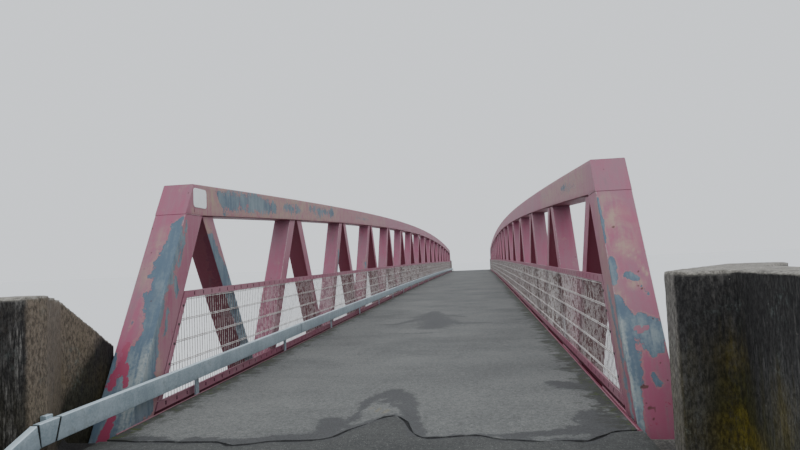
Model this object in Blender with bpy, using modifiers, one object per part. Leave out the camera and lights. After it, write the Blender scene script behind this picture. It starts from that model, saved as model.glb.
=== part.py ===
"""Cycle path bridge, a half-through steel truss bridge, as a 1:2 scale model.

Frame: +Y runs along the path from the near end to the far end, +X to the right of someone
walking that way, +Z up. The origin is the bottom centre of the whole model, on the ground
under the middle of the span. All sizes are metres of the model, half those of the real bridge.
"""
import math

import bmesh
import bpy
from mathutils import Matrix, Vector

# General
MODEL_NAME = "cycle_path_bridge"
GAP = 0.0003                     # between pieces that touch

# Trusses
BAY = 2.1                        # between two frame points of the top chord
BAY_COUNT = 16                   # bays between the two knees
TRUSS_INNER_X = 1.195            # inner face of chords, end posts and rails
CHORD_WIDTH = 0.195              # across the bridge
CHORD_DEPTH = 0.2                # top chord, and end posts square to their slope
TOP_CHORD_HEIGHT = 1.275         # top of the chord above the deck, at the knees
TOP_CHORD_RISE = 0.4335          # more than that in the middle of the span
POST_SLOPE = 0.585               # end post, run along the bridge for each metre of height
LEG_WIDTH = 0.1525               # diagonals, across the bridge
LEG_DEPTH = 0.14                 # diagonals, square to their slope
LEG_INSET = 0.015                # diagonals behind the face of the chord
LEG_HALF_GAP = 0.025             # half the gap between two diagonals at a frame point
LEG_JOINT_PLATE = 0.008          # plate that joins two diagonals at a frame point
BOTTOM_CHORD_DROP = 0.225        # top of the bottom chord below the deck
BOTTOM_CHORD_DEPTH = 0.2
BOTTOM_CHORD_PAST_POST = 0.035   # bottom chord past the foot of the end post

# Deck
DECK_HEIGHT = 2.0                # deck at the ends, above the ground
DECK_RISE = 0.05                 # camber of deck, rails and bottom chord
ASPHALT_HALF_WIDTH = 1.155
ASPHALT_THICKNESS = 0.0225
DECK_PLATE_THICKNESS = 0.0075
DECK_PLATE_CLEARANCE = 0.005     # deck plate to the face of the lower strip
EDGE_STRIP_THICKNESS = 0.005
EDGE_STRIP_PROUD = 0.0015        # edge strip above the asphalt
DECK_JOINT = 0.02                # open joint between the deck and the back wall
RIB_COUNT = 6
RIB_THICKNESS = 0.01
RIB_DEPTH = 0.055
RIB_EDGE_DISTANCE = 0.12         # outer ribs from the edge of the deck plate
GIRDER_DEPTH = 0.25
GIRDER_FLANGE_WIDTH = 0.1
GIRDER_FLANGE_THICKNESS = 0.01
GIRDER_WEB_THICKNESS = 0.008
RIB_SEAT = 0.002                 # ribs let into the tops of the girders

# Railing of each truss
RAIL_HEIGHT = 0.615              # top of the mid rail above the deck
RAIL_FACE = 0.04                 # height of the mid rail's face
LOWER_STRIP_HEIGHT = 0.045       # top of the lower strip above the deck
POST_STRIP_FACE = 0.04           # strip along each end post, square to its slope
POST_STRIP_GAP = 0.01            # dark line between the end post and that strip
GRATING_THICKNESS = 0.006
GRATING_SETBACK = 0.004          # grating behind the face of the rail
GRATING_CLEARANCE = 0.004        # grating to the strips beside the end posts

# Guard rail, on the left side only
GUARD_TOP = 0.1925               # above the deck
GUARD_FACE = 0.09
GUARD_THICKNESS = 0.03
GUARD_INNER_X = 1.12
GUARD_JOINT = 0.002              # open joint before each ramped end
GUARD_JOINT_BEFORE_POST = 1.465  # first joint, before the knee's frame point
GUARD_BEND_BEFORE_POST = 1.6     # mitre of the ramped end, before the same point
GUARD_RAMP_SLOPE = 0.36
BRACKET_SPACING = 1.7
BRACKET_FROM_DECK_END = 0.1      # no bracket nearer than this to the end of the deck
BRACKET_WIDTH = 0.04
BRACKET_THICKNESS = 0.01
BRACKET_PROUD = 0.012            # bracket above the top of the guard rail
SPACER_HEIGHT = 0.06             # spacer between a bracket and the guard rail
SPACER_WIDTH = 0.03
WELD_OVERLAP = 0.004             # spacers let into the rail and the brackets
WALL_BRACKET_FROM_CORNER = 0.1   # bracket on the wall, from the near face of the end block
WALL_BRACKET_DROP = 0.06         # its lower end below the top of the guard rail

# Blank plate on the left top chord
PLATE_WIDTH = 0.18
PLATE_HEIGHT = 0.12
PLATE_THICKNESS = 0.003
PLATE_CORNER = 0.022
PLATE_FROM_KNEE = 0.035          # centre of the plate before the knee's frame point
PLATE_ABOVE_EDGE = 0.11          # centre of the plate above the chord's lower edge

# Bearings
BEARING_WIDTH = 0.16             # across the bridge
BEARING_LENGTH = 0.2             # plates along the bridge
BEARING_PAD_LENGTH = 0.15
BEARING_PLATE_THICKNESS = 0.015
BEARING_PAD_THICKNESS = 0.034
BEARING_FROM_CHORD_END = 0.16    # centre of the bearing from the end of the chord

# Abutments and walls
BACK_WALL_CLEARANCE = 0.035      # end of the bottom chord to the back wall
WALL_INNER_X = 1.175             # inner face of the end blocks beside the path
WALL_TOP = 0.6625                # top of the walls above the deck
WALL_NEAR_FACE = 1.6             # near face of the end block, before the knee's frame point
END_BLOCK_LENGTH = 0.13
APPROACH_LENGTH = 1.0            # approach walls past the end blocks
APPROACH_WALL_INNER_X = 1.36
APPROACH_WALL_OUTER_X = 1.6
WING_LENGTH = 0.89               # wing wall, along its own face
WING_ANGLE = math.radians(33.5)  # wing wall turned out from the line of the path
WING_THICKNESS = 0.25
TAIL_WIDTH = 0.2                 # wall between the end block and the truss
TAIL_SLOPE = 0.105               # fall of the left wall's top towards the truss
TAIL_STEEP_SLOPE = 0.63          # fall of its top beside the truss
TAIL_LEVEL = 0.01                # level top past the end block, before the fall
TAIL_CLEARANCE = 0.012           # left tail to the outer side of the truss
SHELF_OVERLAP = 0.01             # bearing shelf into the back wall that it is cast with
SHELF_LENGTH = 0.42              # bearing shelf along the bridge
APPROACH_SLAB_THICKNESS = 0.125
SLAB_OVERLAP = 0.05              # abutment under the slab that it is cast with

# Values worked out from those above
HALF_SPAN = BAY * BAY_COUNT / 2
HALF_BAY = BAY / 2
TRUSS_OUTER_X = TRUSS_INNER_X + CHORD_WIDTH
LEG_INNER_X = TRUSS_INNER_X + LEG_INSET
LEG_OUTER_X = LEG_INNER_X + LEG_WIDTH
TOP_CHORD_TOP = DECK_HEIGHT + TOP_CHORD_HEIGHT
TOP_CHORD_UNDERSIDE = TOP_CHORD_TOP - CHORD_DEPTH
POST_RUN = CHORD_DEPTH * math.hypot(1, POST_SLOPE)
BOTTOM_CHORD_TOP = DECK_HEIGHT - BOTTOM_CHORD_DROP
BOTTOM_CHORD_UNDERSIDE = BOTTOM_CHORD_TOP - BOTTOM_CHORD_DEPTH
POST_FOOT_RUN = POST_SLOPE * (TOP_CHORD_UNDERSIDE - BOTTOM_CHORD_TOP)
BOTTOM_CHORD_END = HALF_SPAN + POST_FOOT_RUN + POST_RUN + BOTTOM_CHORD_PAST_POST
BACK_WALL_Y = BOTTOM_CHORD_END + BACK_WALL_CLEARANCE
DECK_END = BACK_WALL_Y - DECK_JOINT
RAIL_TOP = DECK_HEIGHT + RAIL_HEIGHT
RAIL_UNDERSIDE = RAIL_TOP - RAIL_FACE
RAIL_OUTER_X = LEG_INNER_X - GAP
POST_STRIP_RUN = POST_STRIP_FACE * math.hypot(1, POST_SLOPE)
LOWER_STRIP_TOP = DECK_HEIGHT + LOWER_STRIP_HEIGHT
DECK_PLATE_TOP = DECK_HEIGHT - ASPHALT_THICKNESS - GAP
DECK_PLATE_UNDERSIDE = DECK_PLATE_TOP - DECK_PLATE_THICKNESS
DECK_PLATE_HALF_WIDTH = TRUSS_INNER_X - DECK_PLATE_CLEARANCE
EDGE_STRIP_INNER_X = ASPHALT_HALF_WIDTH + GAP
EDGE_STRIP_OUTER_X = EDGE_STRIP_INNER_X + EDGE_STRIP_THICKNESS
RIB_UNDERSIDE = DECK_PLATE_UNDERSIDE - GAP - RIB_DEPTH
GIRDER_TOP = RIB_UNDERSIDE + RIB_SEAT
WALL_NEAR_Y = HALF_SPAN + WALL_NEAR_FACE
BLOCK_END_Y = WALL_NEAR_Y - END_BLOCK_LENGTH
APPROACH_END_Y = WALL_NEAR_Y + APPROACH_LENGTH
TAIL_END_Y = BACK_WALL_Y + SHELF_OVERLAP + GAP
LEFT_TAIL_X = TRUSS_OUTER_X + TAIL_CLEARANCE
LEFT_TAIL_END_Y = BACK_WALL_Y - SHELF_LENGTH
SHELF_HALF_WIDTH = LEFT_TAIL_X - GAP
GUARD_OUTER_X = GUARD_INNER_X + GUARD_THICKNESS
LAST_BRACKET_Y = min(DECK_END, HALF_SPAN + GUARD_JOINT_BEFORE_POST) - BRACKET_FROM_DECK_END
BRACKETS_EACH_WAY = math.floor(LAST_BRACKET_Y / BRACKET_SPACING)
GUARD_BEND_Y = -HALF_SPAN - GUARD_BEND_BEFORE_POST
GUARD_MITRE = GUARD_FACE * math.tan(math.atan(GUARD_RAMP_SLOPE) / 2)

# Colours from the photo: base colour, roughness, metallic
PINK = ("faded_pink_paint", (0.34, 0.17, 0.21), 0.55, 0.0)
DEEP_PINK = ("deep_pink_paint", (0.22, 0.05, 0.09), 0.6, 0.0)
GALVANISED = ("galvanised_steel", (0.30, 0.36, 0.41), 0.45, 0.7)
GRATING = ("weathered_grating", (0.45, 0.43, 0.42), 0.6, 0.4)
ASPHALT = ("asphalt", (0.10, 0.105, 0.105), 0.92, 0.0)
CONCRETE = ("stained_concrete", (0.16, 0.145, 0.125), 0.9, 0.0)
DARK_STEEL = ("bearing_steel", (0.09, 0.08, 0.08), 0.7, 0.2)
WHITE = ("white_plate", (0.70, 0.71, 0.70), 0.4, 0.0)


def material(finish):
    """Return the material of a finish, made on its first use."""
    name, colour, roughness, metallic = finish
    made = bpy.data.materials.get(name)
    if made is None:
        made = bpy.data.materials.new(name)
        made.use_nodes = True
        shader = made.node_tree.nodes["Principled BSDF"]
        shader.inputs["Base Color"].default_value = (*colour, 1.0)
        shader.inputs["Roughness"].default_value = roughness
        shader.inputs["Metallic"].default_value = metallic
    return made


def camber(y, rise):
    """Height that a cambered line gains at y, straight between the frame points."""
    low = math.floor(y / HALF_BAY) * HALF_BAY
    high = low + HALF_BAY
    start = rise * (1 - (low / HALF_SPAN) ** 2)
    end = rise * (1 - (high / HALF_SPAN) ** 2)
    return start + (end - start) * (y - low) / HALF_BAY


# Levels of the ends, where the cambered lines are at their lowest
APPROACH_TOP = DECK_HEIGHT + camber(DECK_END, DECK_RISE)
APPROACH_SLAB_TOP = APPROACH_TOP - ASPHALT_THICKNESS - GAP
BEARING_TOP = BOTTOM_CHORD_UNDERSIDE + camber(BOTTOM_CHORD_END, DECK_RISE)
SHELF_TOP = BEARING_TOP - 2 * BEARING_PLATE_THICKNESS - BEARING_PAD_THICKNESS - 2 * GAP


def stations(start, end):
    """Return start, each frame point between start and end, and end."""
    close = 0.000001
    first = math.floor(start / HALF_BAY + close) + 1
    last = math.ceil(end / HALF_BAY - close) - 1
    return [start] + [k * HALF_BAY for k in range(first, last + 1)] + [end]


def deck_band(start, end, low, high):
    """Outline, seen from the side, of a band between two heights that follows the deck."""
    points = stations(start, end)
    lower = [(y, low + camber(y, DECK_RISE)) for y in points]
    upper = [(y, high + camber(y, DECK_RISE)) for y in reversed(points)]
    return lower + upper


def mirrored(outline):
    """Return the outline at the other end of the bridge."""
    return [(-y, z) for y, z in reversed(outline)]


def extruded(name, outlines, low, high, axis, finish, collection):
    """Make one object from flat outlines, drawn across an axis and extruded along it.

    Outlines across X are (y, z) points, across Y (x, z) and across Z (x, y).
    """
    turn = {
        "X": Matrix(((0, 0, 1), (1, 0, 0), (0, 1, 0))),
        "Y": Matrix(((1, 0, 0), (0, 0, -1), (0, 1, 0))),
        "Z": Matrix.Identity(3),
    }[axis]
    curve = bpy.data.curves.new(name, "CURVE")
    curve.dimensions = "2D"
    curve.fill_mode = "BOTH"
    curve.extrude = (high - low) / 2
    for outline in outlines:
        spline = curve.splines.new("POLY")
        spline.points.add(len(outline) - 1)
        for point, (u, v) in zip(spline.points, outline):
            point.co = (u, v, 0, 1)
        spline.use_cyclic_u = True
    middle = (low + high) / 2
    place = Vector([middle if name_of_axis == axis else 0 for name_of_axis in "XYZ"])
    piece = bpy.data.objects.new(name, curve)
    piece.matrix_world = Matrix.Translation(place) @ turn.to_4x4()
    curve.materials.append(material(finish))
    collection.objects.link(piece)
    return piece


def meshed(piece):
    """Turn an extruded outline into a closed mesh object with its scale and turn applied."""
    name = piece.name
    collection = piece.users_collection[0]
    bpy.context.view_layer.update()
    source = piece.evaluated_get(bpy.context.evaluated_depsgraph_get())
    mesh = bpy.data.meshes.new_from_object(source)
    mesh.transform(piece.matrix_world)
    work = bmesh.new()
    work.from_mesh(mesh)
    bmesh.ops.remove_doubles(work, verts=work.verts, dist=0.00001)
    bmesh.ops.recalc_face_normals(work, faces=work.faces)
    work.to_mesh(mesh)
    work.free()
    bpy.data.objects.remove(piece)
    solid = bpy.data.objects.new(name, mesh)
    collection.objects.link(solid)
    return solid


def box(name, low, high, finish, collection):
    """Make a box between two corners."""
    mesh = bpy.data.meshes.new(name)
    work = bmesh.new()
    bmesh.ops.create_cube(work, size=1)
    size = Vector(high) - Vector(low)
    bmesh.ops.scale(work, vec=size, verts=work.verts)
    work.to_mesh(mesh)
    work.free()
    mesh.materials.append(material(finish))
    piece = bpy.data.objects.new(name, mesh)
    piece.location = (Vector(low) + Vector(high)) / 2
    collection.objects.link(piece)
    return piece


def combine(piece, cutter, operation, cutters):
    """Give a mesh piece a Boolean with a second body, which is hidden and kept as a guide."""
    for collection in list(cutter.users_collection):
        collection.objects.unlink(cutter)
    cutters.objects.link(cutter)
    cutter.hide_render = True
    cutter.display_type = "WIRE"
    boolean = piece.modifiers.new(operation.lower(), "BOOLEAN")
    boolean.operation = operation
    boolean.solver = "EXACT"
    boolean.use_self = True
    boolean.object = cutter


def repeated(piece, count, pitch):
    """Repeat an extruded piece along the axis that it is extruded on."""
    array = piece.modifiers.new("copies", "ARRAY")
    array.count = count
    array.use_relative_offset = False
    array.use_constant_offset = True
    array.constant_offset_displace = (0, 0, pitch)


def side_name(side):
    """Return the name of the side that a sign stands for."""
    return "left" if side < 0 else "right"


def across(side, inner, outer):
    """Return the lower and upper X of a piece that lies between two distances on one side."""
    return (-outer, -inner) if side < 0 else (inner, outer)


def top_chord_outline():
    """Arched top chord with a knee at each end, cut to the slope of the end posts."""
    knee_bottom = HALF_SPAN + POST_RUN
    knee_top = knee_bottom - POST_SLOPE * CHORD_DEPTH
    arch = stations(-HALF_SPAN, HALF_SPAN)
    lower = [(y, TOP_CHORD_UNDERSIDE + camber(y, TOP_CHORD_RISE)) for y in arch]
    upper = [(y, TOP_CHORD_TOP + camber(y, TOP_CHORD_RISE)) for y in reversed(arch)]
    near_top = TOP_CHORD_TOP + camber(-knee_top, TOP_CHORD_RISE)
    far_knee = [(knee_bottom, TOP_CHORD_UNDERSIDE), (knee_top, near_top)]
    near_knee = [(-knee_top, near_top), (-knee_bottom, TOP_CHORD_UNDERSIDE)]
    return lower + far_knee + upper + near_knee


def end_post_outline():
    """Near end post, from the weld under the knee down to the bottom chord."""
    top = TOP_CHORD_UNDERSIDE - GAP
    inner_top = -HALF_SPAN
    inner_foot = inner_top - POST_FOOT_RUN
    foot_inner = BOTTOM_CHORD_TOP + camber(inner_foot, DECK_RISE) + GAP
    foot_outer = BOTTOM_CHORD_TOP + camber(inner_foot - POST_RUN, DECK_RISE) + GAP
    return [
        (inner_foot - POST_RUN, foot_outer),
        (inner_foot, foot_inner),
        (inner_top, top),
        (inner_top - POST_RUN, top),
    ]


def leg(top_point, direction):
    """Slope of a diagonal and its run along the bridge, from one frame point to the next.

    direction is +1 for a leg that runs towards the far end on its way down, else -1.
    """
    height = TOP_CHORD_UNDERSIDE + camber(top_point, TOP_CHORD_RISE)
    height -= BOTTOM_CHORD_TOP + camber(top_point + direction * HALF_BAY, DECK_RISE)
    run = LEG_DEPTH
    for _ in range(8):
        slope = (HALF_BAY - 2 * LEG_HALF_GAP - run) / height
        run = LEG_DEPTH * math.hypot(1, slope)
    return slope, run


def under_chord(y, drop=0.0):
    """Point at y just under the top chord, or lower by a drop."""
    return y, TOP_CHORD_UNDERSIDE + camber(y, TOP_CHORD_RISE) - GAP - drop


def on_chord(y, lift=0.0):
    """Point at y just above the bottom chord, or higher by a lift."""
    return y, BOTTOM_CHORD_TOP + camber(y, DECK_RISE) + GAP + lift


def diagonals_outline():
    """All diagonals of a truss as one zigzag, joined at the frame points by small plates."""
    gap = LEG_HALF_GAP
    plate = LEG_JOINT_PLATE
    lower = []
    upper = [under_chord(-HALF_SPAN + gap)]
    for k in range(BAY_COUNT):
        left = -HALF_SPAN + k * BAY
        foot = left + HALF_BAY
        right = left + BAY
        down_slope, down_run = leg(left, 1)
        up_slope, up_run = leg(right, -1)
        lower.append((left + gap + down_slope * plate, under_chord(left, plate)[1]))
        lower += [on_chord(foot - gap - down_run), on_chord(foot), on_chord(foot + gap + up_run)]
        lower.append((right - gap - up_slope * plate, under_chord(right, plate)[1]))
        crotch = on_chord(foot, plate)[1]
        if k > 0:
            upper.append(under_chord(left))
        upper.append(under_chord(left + gap + down_run))
        upper += [(foot - gap - down_slope * plate, crotch), (foot + gap + up_slope * plate, crotch)]
        upper.append(under_chord(right - gap - up_run))
    upper.append(under_chord(HALF_SPAN - gap))
    return lower + upper[::-1]


def post_face_y(z):
    """Inner edge of the near end post at a height."""
    return -HALF_SPAN - POST_SLOPE * (TOP_CHORD_UNDERSIDE - z)


def mid_rail_outline():
    """Mid rail between the end posts, following the deck."""
    low = post_face_y(RAIL_UNDERSIDE) + POST_STRIP_GAP
    high = post_face_y(RAIL_TOP) + POST_STRIP_GAP
    lower = [(y, RAIL_UNDERSIDE + camber(y, DECK_RISE)) for y in stations(low, -low)]
    upper = [(y, RAIL_TOP + camber(y, DECK_RISE)) for y in reversed(stations(high, -high))]
    return lower + upper


def grating_frame_outline():
    """Lower strip with an upright strip beside each end post, which the mid rail rests on."""
    run = POST_STRIP_RUN
    foot = post_face_y(LOWER_STRIP_TOP) + POST_STRIP_GAP
    head = post_face_y(RAIL_UNDERSIDE) + POST_STRIP_GAP
    base = post_face_y(DECK_HEIGHT) + POST_STRIP_GAP
    lower = [(y, DECK_HEIGHT + camber(y, DECK_RISE)) for y in stations(base, -base)]
    inner = [(y, LOWER_STRIP_TOP + camber(y, DECK_RISE)) for y in stations(foot + run, -foot - run)]
    near_top = [(y, RAIL_UNDERSIDE + camber(y, DECK_RISE) - GAP) for y in (head + run, head)]
    return lower + mirrored(near_top) + inner[::-1] + near_top


def grating_outline():
    """Grating between the lower strip, the mid rail and the strips beside the end posts."""
    low = LOWER_STRIP_TOP + GAP
    high = RAIL_UNDERSIDE - GAP
    past_strip = POST_STRIP_GAP + POST_STRIP_RUN + GRATING_CLEARANCE
    foot = post_face_y(low) + past_strip
    head = post_face_y(high) + past_strip
    lower = [(y, low + camber(y, DECK_RISE)) for y in stations(foot, -foot)]
    upper = [(y, high + camber(y, DECK_RISE)) for y in reversed(stations(head, -head))]
    return lower + upper


def build_truss(side, parts):
    """Make the truss of one side with its railing."""
    name = side_name(side)
    chord = across(side, TRUSS_INNER_X, TRUSS_OUTER_X)
    legs = across(side, LEG_INNER_X, LEG_OUTER_X)
    rail = across(side, TRUSS_INNER_X, RAIL_OUTER_X)
    grating_inner = TRUSS_INNER_X + GRATING_SETBACK
    grating = across(side, grating_inner, grating_inner + GRATING_THICKNESS)
    post = end_post_outline()
    extruded(f"{name}_top_chord", [top_chord_outline()], *chord, "X", PINK, parts)
    bottom = deck_band(-BOTTOM_CHORD_END, BOTTOM_CHORD_END, BOTTOM_CHORD_UNDERSIDE, BOTTOM_CHORD_TOP)
    extruded(f"{name}_bottom_chord", [bottom], *chord, "X", DEEP_PINK, parts)
    extruded(f"{name}_near_end_post", [post], *chord, "X", PINK, parts)
    extruded(f"{name}_far_end_post", [mirrored(post)], *chord, "X", PINK, parts)
    extruded(f"{name}_diagonals", [diagonals_outline()], *legs, "X", PINK, parts)
    extruded(f"{name}_mid_rail", [mid_rail_outline()], *rail, "X", PINK, parts)
    extruded(f"{name}_grating_frame", [grating_frame_outline()], *rail, "X", PINK, parts)
    extruded(f"{name}_grating", [grating_outline()], *grating, "X", GRATING, parts)


def build_deck(parts, cutters):
    """Make the deck between the trusses, from the asphalt down to the cross girders."""
    half = ASPHALT_HALF_WIDTH
    asphalt = deck_band(-DECK_END, DECK_END, DECK_HEIGHT - ASPHALT_THICKNESS, DECK_HEIGHT)
    extruded("deck_asphalt", [asphalt], -half, half, "X", ASPHALT, parts)
    plate = deck_band(-DECK_END, DECK_END, DECK_PLATE_UNDERSIDE, DECK_PLATE_TOP)
    wide = DECK_PLATE_HALF_WIDTH
    extruded("deck_plate", [plate], -wide, wide, "X", DEEP_PINK, parts)
    edge = deck_band(-DECK_END, DECK_END, DECK_PLATE_TOP + GAP, DECK_HEIGHT + EDGE_STRIP_PROUD)
    for side in (-1, 1):
        reach = across(side, EDGE_STRIP_INNER_X, EDGE_STRIP_OUTER_X)
        extruded(f"{side_name(side)}_deck_edge_strip", [edge], *reach, "X", PINK, parts)
    build_grillage(parts, cutters)


def girder_outline(y):
    """I-shaped section of a cross girder under the ribs."""
    flange = GIRDER_FLANGE_WIDTH / 2
    web = GIRDER_WEB_THICKNESS / 2
    top = GIRDER_TOP + min(camber(y - flange, DECK_RISE), camber(y + flange, DECK_RISE))
    low = top - GIRDER_DEPTH
    upper = top - GIRDER_FLANGE_THICKNESS
    lower = low + GIRDER_FLANGE_THICKNESS
    half = [(flange, low), (flange, lower), (web, lower), (web, upper), (flange, upper), (flange, top)]
    left = [(-u, v) for u, v in reversed(half)]
    return [(y + u, v) for u, v in half + left]


def build_grillage(parts, cutters):
    """Make the cross girders, at each bottom frame point and both ends, with ribs across them."""
    reach = TRUSS_INNER_X - GAP
    end_girder = BOTTOM_CHORD_END - GIRDER_FLANGE_WIDTH
    points = [-HALF_SPAN + (k + 0.5) * BAY for k in range(BAY_COUNT)]
    outlines = [girder_outline(y) for y in [-end_girder] + points + [end_girder]]
    grillage = extruded("deck_grillage", outlines, -reach, reach, "X", DEEP_PINK, parts)
    rib = deck_band(-DECK_END, DECK_END, RIB_UNDERSIDE, DECK_PLATE_UNDERSIDE - GAP)
    outer = DECK_PLATE_HALF_WIDTH - RIB_EDGE_DISTANCE
    low = -outer - RIB_THICKNESS / 2
    ribs = extruded("deck_ribs", [rib], low, low + RIB_THICKNESS, "X", DEEP_PINK, cutters)
    repeated(ribs, RIB_COUNT, 2 * outer / (RIB_COUNT - 1))
    combine(meshed(grillage), meshed(ribs), "UNION", cutters)


def guard_top(y):
    """Top of the guard rail at y."""
    return DECK_HEIGHT + GUARD_TOP + camber(y, DECK_RISE)


def guard_end_outline():
    """Near end of the guard rail: a short level piece and a ramp down to the approach."""
    ground = APPROACH_TOP + GAP
    first = -HALF_SPAN - GUARD_JOINT_BEFORE_POST - GUARD_JOINT
    top = guard_top(GUARD_BEND_Y)
    low = top - GUARD_FACE
    low_bend = GUARD_BEND_Y + GUARD_MITRE
    return [
        (low_bend - (low - ground) / GUARD_RAMP_SLOPE, ground),
        (low_bend, low),
        (first, guard_top(first) - GUARD_FACE),
        (first, guard_top(first)),
        (GUARD_BEND_Y, top),
        (GUARD_BEND_Y - (top - ground) / GUARD_RAMP_SLOPE, ground),
    ]


def upright(middle, width, low, high):
    """Outline of a small upright rectangle."""
    start = middle - width / 2
    return [(start, low), (start + width, low), (start + width, high), (start, high)]


def build_guard_rail(parts, cutters):
    """Make the guard rail of the left side with the brackets that stand on the deck plate."""
    first = -HALF_SPAN - GUARD_JOINT_BEFORE_POST
    lower = [(y, guard_top(y) - GUARD_FACE) for y in stations(first, -first)]
    upper = [(y, guard_top(y)) for y in reversed(stations(first, -first))]
    reach = across(-1, GUARD_INNER_X, GUARD_OUTER_X)
    rail = meshed(extruded("guard_rail", [lower + upper], *reach, "X", GALVANISED, parts))
    front = EDGE_STRIP_OUTER_X + GAP
    spacers = []
    brackets = []
    for k in range(-BRACKETS_EACH_WAY, BRACKETS_EACH_WAY + 1):
        y = k * BRACKET_SPACING
        sides = (y - BRACKET_WIDTH / 2, y + BRACKET_WIDTH / 2)
        foot = DECK_PLATE_TOP + max(camber(v, DECK_RISE) for v in sides) + GAP
        low = guard_top(y) - GUARD_FACE / 2 - SPACER_HEIGHT / 2
        spacers.append(upright(y, SPACER_WIDTH, low, low + SPACER_HEIGHT))
        brackets.append(upright(y, BRACKET_WIDTH, foot, guard_top(y) + BRACKET_PROUD))
    spacer_reach = across(-1, GUARD_OUTER_X - WELD_OVERLAP, front + WELD_OVERLAP)
    bracket_reach = across(-1, front, front + BRACKET_THICKNESS)
    blocks = extruded("guard_spacers", spacers, *spacer_reach, "X", GALVANISED, cutters)
    combine(rail, meshed(blocks), "UNION", cutters)
    blocks = extruded("guard_brackets", brackets, *bracket_reach, "X", GALVANISED, cutters)
    combine(rail, meshed(blocks), "UNION", cutters)


def build_guard_end(end, parts, cutters):
    """Make one ramped end of the guard rail with its bracket on the wall."""
    name = "near" if end < 0 else "far"
    outline = guard_end_outline()
    y = -WALL_NEAR_Y + WALL_BRACKET_FROM_CORNER
    bracket = upright(y, BRACKET_WIDTH, guard_top(y) - WALL_BRACKET_DROP, guard_top(y) + BRACKET_PROUD)
    if end > 0:
        outline = mirrored(outline)
        bracket = mirrored(bracket)
    reach = across(-1, GUARD_INNER_X, GUARD_OUTER_X)
    rail = meshed(extruded(f"guard_rail_{name}_end", [outline], *reach, "X", GALVANISED, parts))
    reach = across(-1, GUARD_OUTER_X - WELD_OVERLAP, WALL_INNER_X - GAP)
    block = extruded(f"guard_{name}_wall_bracket", [bracket], *reach, "X", GALVANISED, cutters)
    combine(rail, meshed(block), "UNION", cutters)


def build_blank_plate(parts):
    """Make the small blank plate on the inner face of the left top chord."""
    middle_y = -HALF_SPAN - PLATE_FROM_KNEE
    middle_z = TOP_CHORD_UNDERSIDE + PLATE_ABOVE_EDGE
    outline = []
    for corner in range(4):
        quarter = corner * math.pi / 2
        sign_y = 1 if corner in (0, 3) else -1
        sign_z = 1 if corner in (0, 1) else -1
        centre_y = middle_y + sign_y * (PLATE_WIDTH / 2 - PLATE_CORNER)
        centre_z = middle_z + sign_z * (PLATE_HEIGHT / 2 - PLATE_CORNER)
        for step in range(4):
            angle = quarter + step * math.pi / 6
            across_bend = PLATE_CORNER * math.cos(angle)
            outline.append((centre_y + across_bend, centre_z + PLATE_CORNER * math.sin(angle)))
    reach = across(-1, TRUSS_INNER_X - GAP - PLATE_THICKNESS, TRUSS_INNER_X - GAP)
    extruded("blank_plate", [outline], *reach, "X", WHITE, parts)


def bearing_outline(end):
    """Bearing seen from the side: a pad between a base plate and a tapered plate."""
    y = end * (BOTTOM_CHORD_END - BEARING_FROM_CHORD_END)
    base = SHELF_TOP + GAP
    pad = base + BEARING_PLATE_THICKNESS
    plate = pad + BEARING_PAD_THICKNESS
    start = y - BEARING_LENGTH / 2
    stop = y + BEARING_LENGTH / 2
    pad_start = y - BEARING_PAD_LENGTH / 2
    pad_stop = y + BEARING_PAD_LENGTH / 2
    under = [(v, BOTTOM_CHORD_UNDERSIDE + camber(v, DECK_RISE) - GAP) for v in (stop, start)]
    right = [(start, base), (stop, base), (stop, pad), (pad_stop, pad), (pad_stop, plate), (stop, plate)]
    left = [(start, plate), (pad_start, plate), (pad_start, pad), (start, pad)]
    return right + under + left


def build_bearings(side, end, parts):
    """Make the bearing of one corner."""
    name = f"{'near' if end < 0 else 'far'}_{side_name(side)}_bearing"
    middle = (TRUSS_INNER_X + TRUSS_OUTER_X) / 2
    reach = across(side, middle - BEARING_WIDTH / 2, middle + BEARING_WIDTH / 2)
    extruded(name, [bearing_outline(end)], *reach, "X", DARK_STEEL, parts)


def wall_plan(side, end):
    """Plan of one wall: approach wall, end block beside the path and wing wall turned out."""
    run = (math.sin(WING_ANGLE), -math.cos(WING_ANGLE))
    out = (math.cos(WING_ANGLE), math.sin(WING_ANGLE))
    inner = (WALL_INNER_X + WING_LENGTH * run[0], BLOCK_END_Y + WING_LENGTH * run[1])
    outer = (inner[0] + WING_THICKNESS * out[0], inner[1] + WING_THICKNESS * out[1])
    back = (outer[0] - APPROACH_WALL_OUTER_X) / run[0]
    elbow = (APPROACH_WALL_OUTER_X, outer[1] - back * run[1])
    plan = [
        (WALL_INNER_X, WALL_NEAR_Y),
        (WALL_INNER_X, BLOCK_END_Y),
        inner,
        outer,
        elbow,
        (APPROACH_WALL_OUTER_X, APPROACH_END_Y),
        (APPROACH_WALL_INNER_X, APPROACH_END_Y),
        (APPROACH_WALL_INNER_X, WALL_NEAR_Y),
    ]
    return [(side * x, end * y) for x, y in plan]


def tail_plan(side, end):
    """Plan of the wall that fills the corner between the end block, the wing and the truss."""
    slope = math.tan(WING_ANGLE)
    start = BLOCK_END_Y - GAP / math.sin(WING_ANGLE)
    outer = WALL_INNER_X + TAIL_WIDTH
    plan = [
        (WALL_INNER_X, start),
        (WALL_INNER_X, TAIL_END_Y),
        (outer, TAIL_END_Y),
        (outer, start - TAIL_WIDTH / slope),
    ]
    return [(side * x, end * y) for x, y in plan]


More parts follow.
